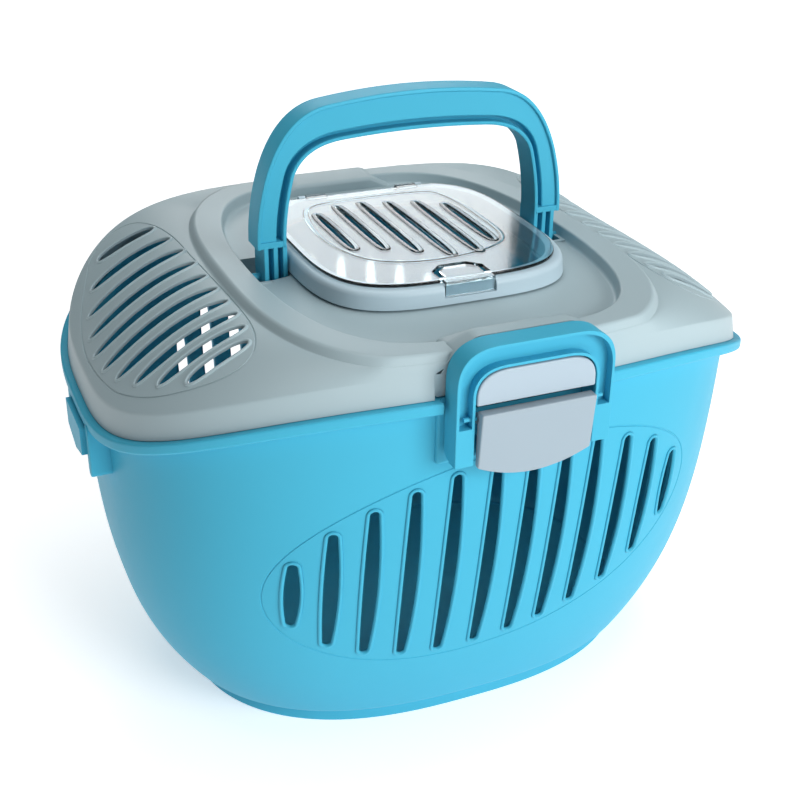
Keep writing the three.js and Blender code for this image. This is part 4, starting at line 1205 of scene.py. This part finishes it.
def plate(end, inset, depth):
    """A plate that leans outwards to its top and is thinner low down."""
    half = LEVER_HALF - inset
    bottom = LEVER_BOTTOM + inset
    right = curve((half, LEVER_CORNER + inset), (half / 2, bottom), (0, bottom), 14, True)
    top = LEVER_TOP - inset
    outline = np.concatenate([[(half, top)], right, (right * (-1, 1))[::-1][1:], [(-half, top)]])
    rise = outline[:, 1] - LEVER_BOTTOM
    low, high = LEVER_FACES
    lean = low + (high - low) * rise / (LEVER_TOP - LEVER_BOTTOM) - inset
    face = np.stack([-end * outline[:, 0], end * lean, outline[:, 1]], 1)
    depths = depth * (0.43 + 0.57 * np.clip(rise / (LEVER_FULL_DEPTH - LEVER_BOTTOM), 0, 1))
    made = skin("plate", [face, face - np.outer(depths, (0, end, 0))])
    outward(made)
    return made


def lever(end):
    """A dished thumb plate with its hinge barrel behind."""
    shell = rounded(plate(end, 0, LEVER_DEPTH), 0.8, 4)
    combine(shell, [plate(end, LEVER_WALL, LEVER_DEPTH * 2)])
    outline = [(end * y, z) for y, z in circle(2.6, 24, LEVER_PIVOT)]
    return joined("lever", [shell, prism("barrel", outline, -LEVER_HALF, LEVER_HALF, "side")])


# %% Both clasps
for word, end in (("front", -1), ("rear", 1)):
    piece = bail(end)
    piece.name = word + "_bail_hoop"
    dress(piece, word + "_bail", blue_plastic, [word + "_bail"])
    piece = insert(end)
    piece.name = word + "_insert_plate"
    dress(piece, word + "_bail", satin_gray, [word + "_insert"])
    # The lever's darker gray is painted shade over the insert's satin gray.
    piece = lever(end)
    piece.name = word + "_lever_plate"
    dress(piece, word + "_lever", lever_painted_shade_gray, [word + "_lever"])

# %% [markdown]
# ## Pieces that stay as they are
# The clip plates and the pins have the right shape in the CAD model already. They only get a
# better finish.

# %% Clips and pins
for name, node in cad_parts.items():
    if node.hide_render:
        continue
    finish = drawn_steel if "hatch" in name else blue_plastic
    node.data.materials.clear()
    node.data.materials.append(finish)
    print(name, finish.name)

# %% [markdown]
# ## Floor and light
# The photograph is a product picture on white: a pale floor that glows, half bright near the carrier
# and pure white further out, so this painted glow also lights the carrier from below and fills the
# shadows on the floor; soft light from above and from the front right, and a large panel behind that
# shows in the clear hatch. Area lights give soft shadow edges, and a faint white world fills in the rest.

# %% Floor
FLOOR_HALF = 6000
floor = mesh_object("floor", [(-FLOOR_HALF, -FLOOR_HALF, 0), (FLOOR_HALF, -FLOOR_HALF, 0),
                              (FLOOR_HALF, FLOOR_HALF, 0), (-FLOOR_HALF, FLOOR_HALF, 0)], [(0, 1, 2, 3)])
floor_material, floor_shader, at = new_material("glowing_pale_floor")
# The floor's emission is painted light. It glows at half strength near the carrier, which lights the
# carrier from below and fills the shadows on the floor, and rises to pure white further out.
away = at.node("ShaderNodeVectorMath", {"operation": "LENGTH"}, {0: at}, 1)
far = at.node("ShaderNodeMapRange", {"interpolation_type": "SMOOTHSTEP"}, {
    "Value": away, "From Min": 0.7, "From Max": 2.2})
feed(floor_shader, "Emission Color", far.blend((0.5, 0.5, 0.5, 1), (1, 1, 1, 1)))
floor_shader.inputs["Base Color"].default_value = (0.93, 0.93, 0.93, 1)
floor_shader.inputs["Roughness"].default_value = 0.9
floor_shader.inputs["Emission Strength"].default_value = 1
floor.data.materials.append(floor_material)


# %% Lights
def area_light(name, place, aim, size, power):
    data = bpy.data.lights.new(name, "AREA")
    data.shape = "RECTANGLE"
    data.size, data.size_y = size
    data.energy = power
    made = bpy.data.objects.new(name, data)
    made.location = place
    made.rotation_euler = (Vector(aim) - Vector(place)).to_track_quat("-Z", "Y").to_euler()
    bpy.context.scene.collection.objects.link(made)


area_light("key_light", (0.75, -1.75, 0.85), (0, 0, 0.12), (1.1, 1.1), 34)
area_light("top_light", (0.1, 0.1, 1.7), (0, 0, 0.1), (1.4, 1.4), 15)
area_light("mirror_panel", (0.42, 1.5, 0.86), (0.42, 0, 0.86), (0.9, 0.7), 5.0)

world = bpy.data.worlds.new("studio")
world.use_nodes = True
backdrop = world.node_tree.nodes["Background"]
backdrop.inputs["Color"].default_value = (1, 1, 1, 1)
backdrop.inputs["Strength"].default_value = 0.1
bpy.context.scene.world = world
bpy.context.scene.view_settings.view_transform = "Standard"
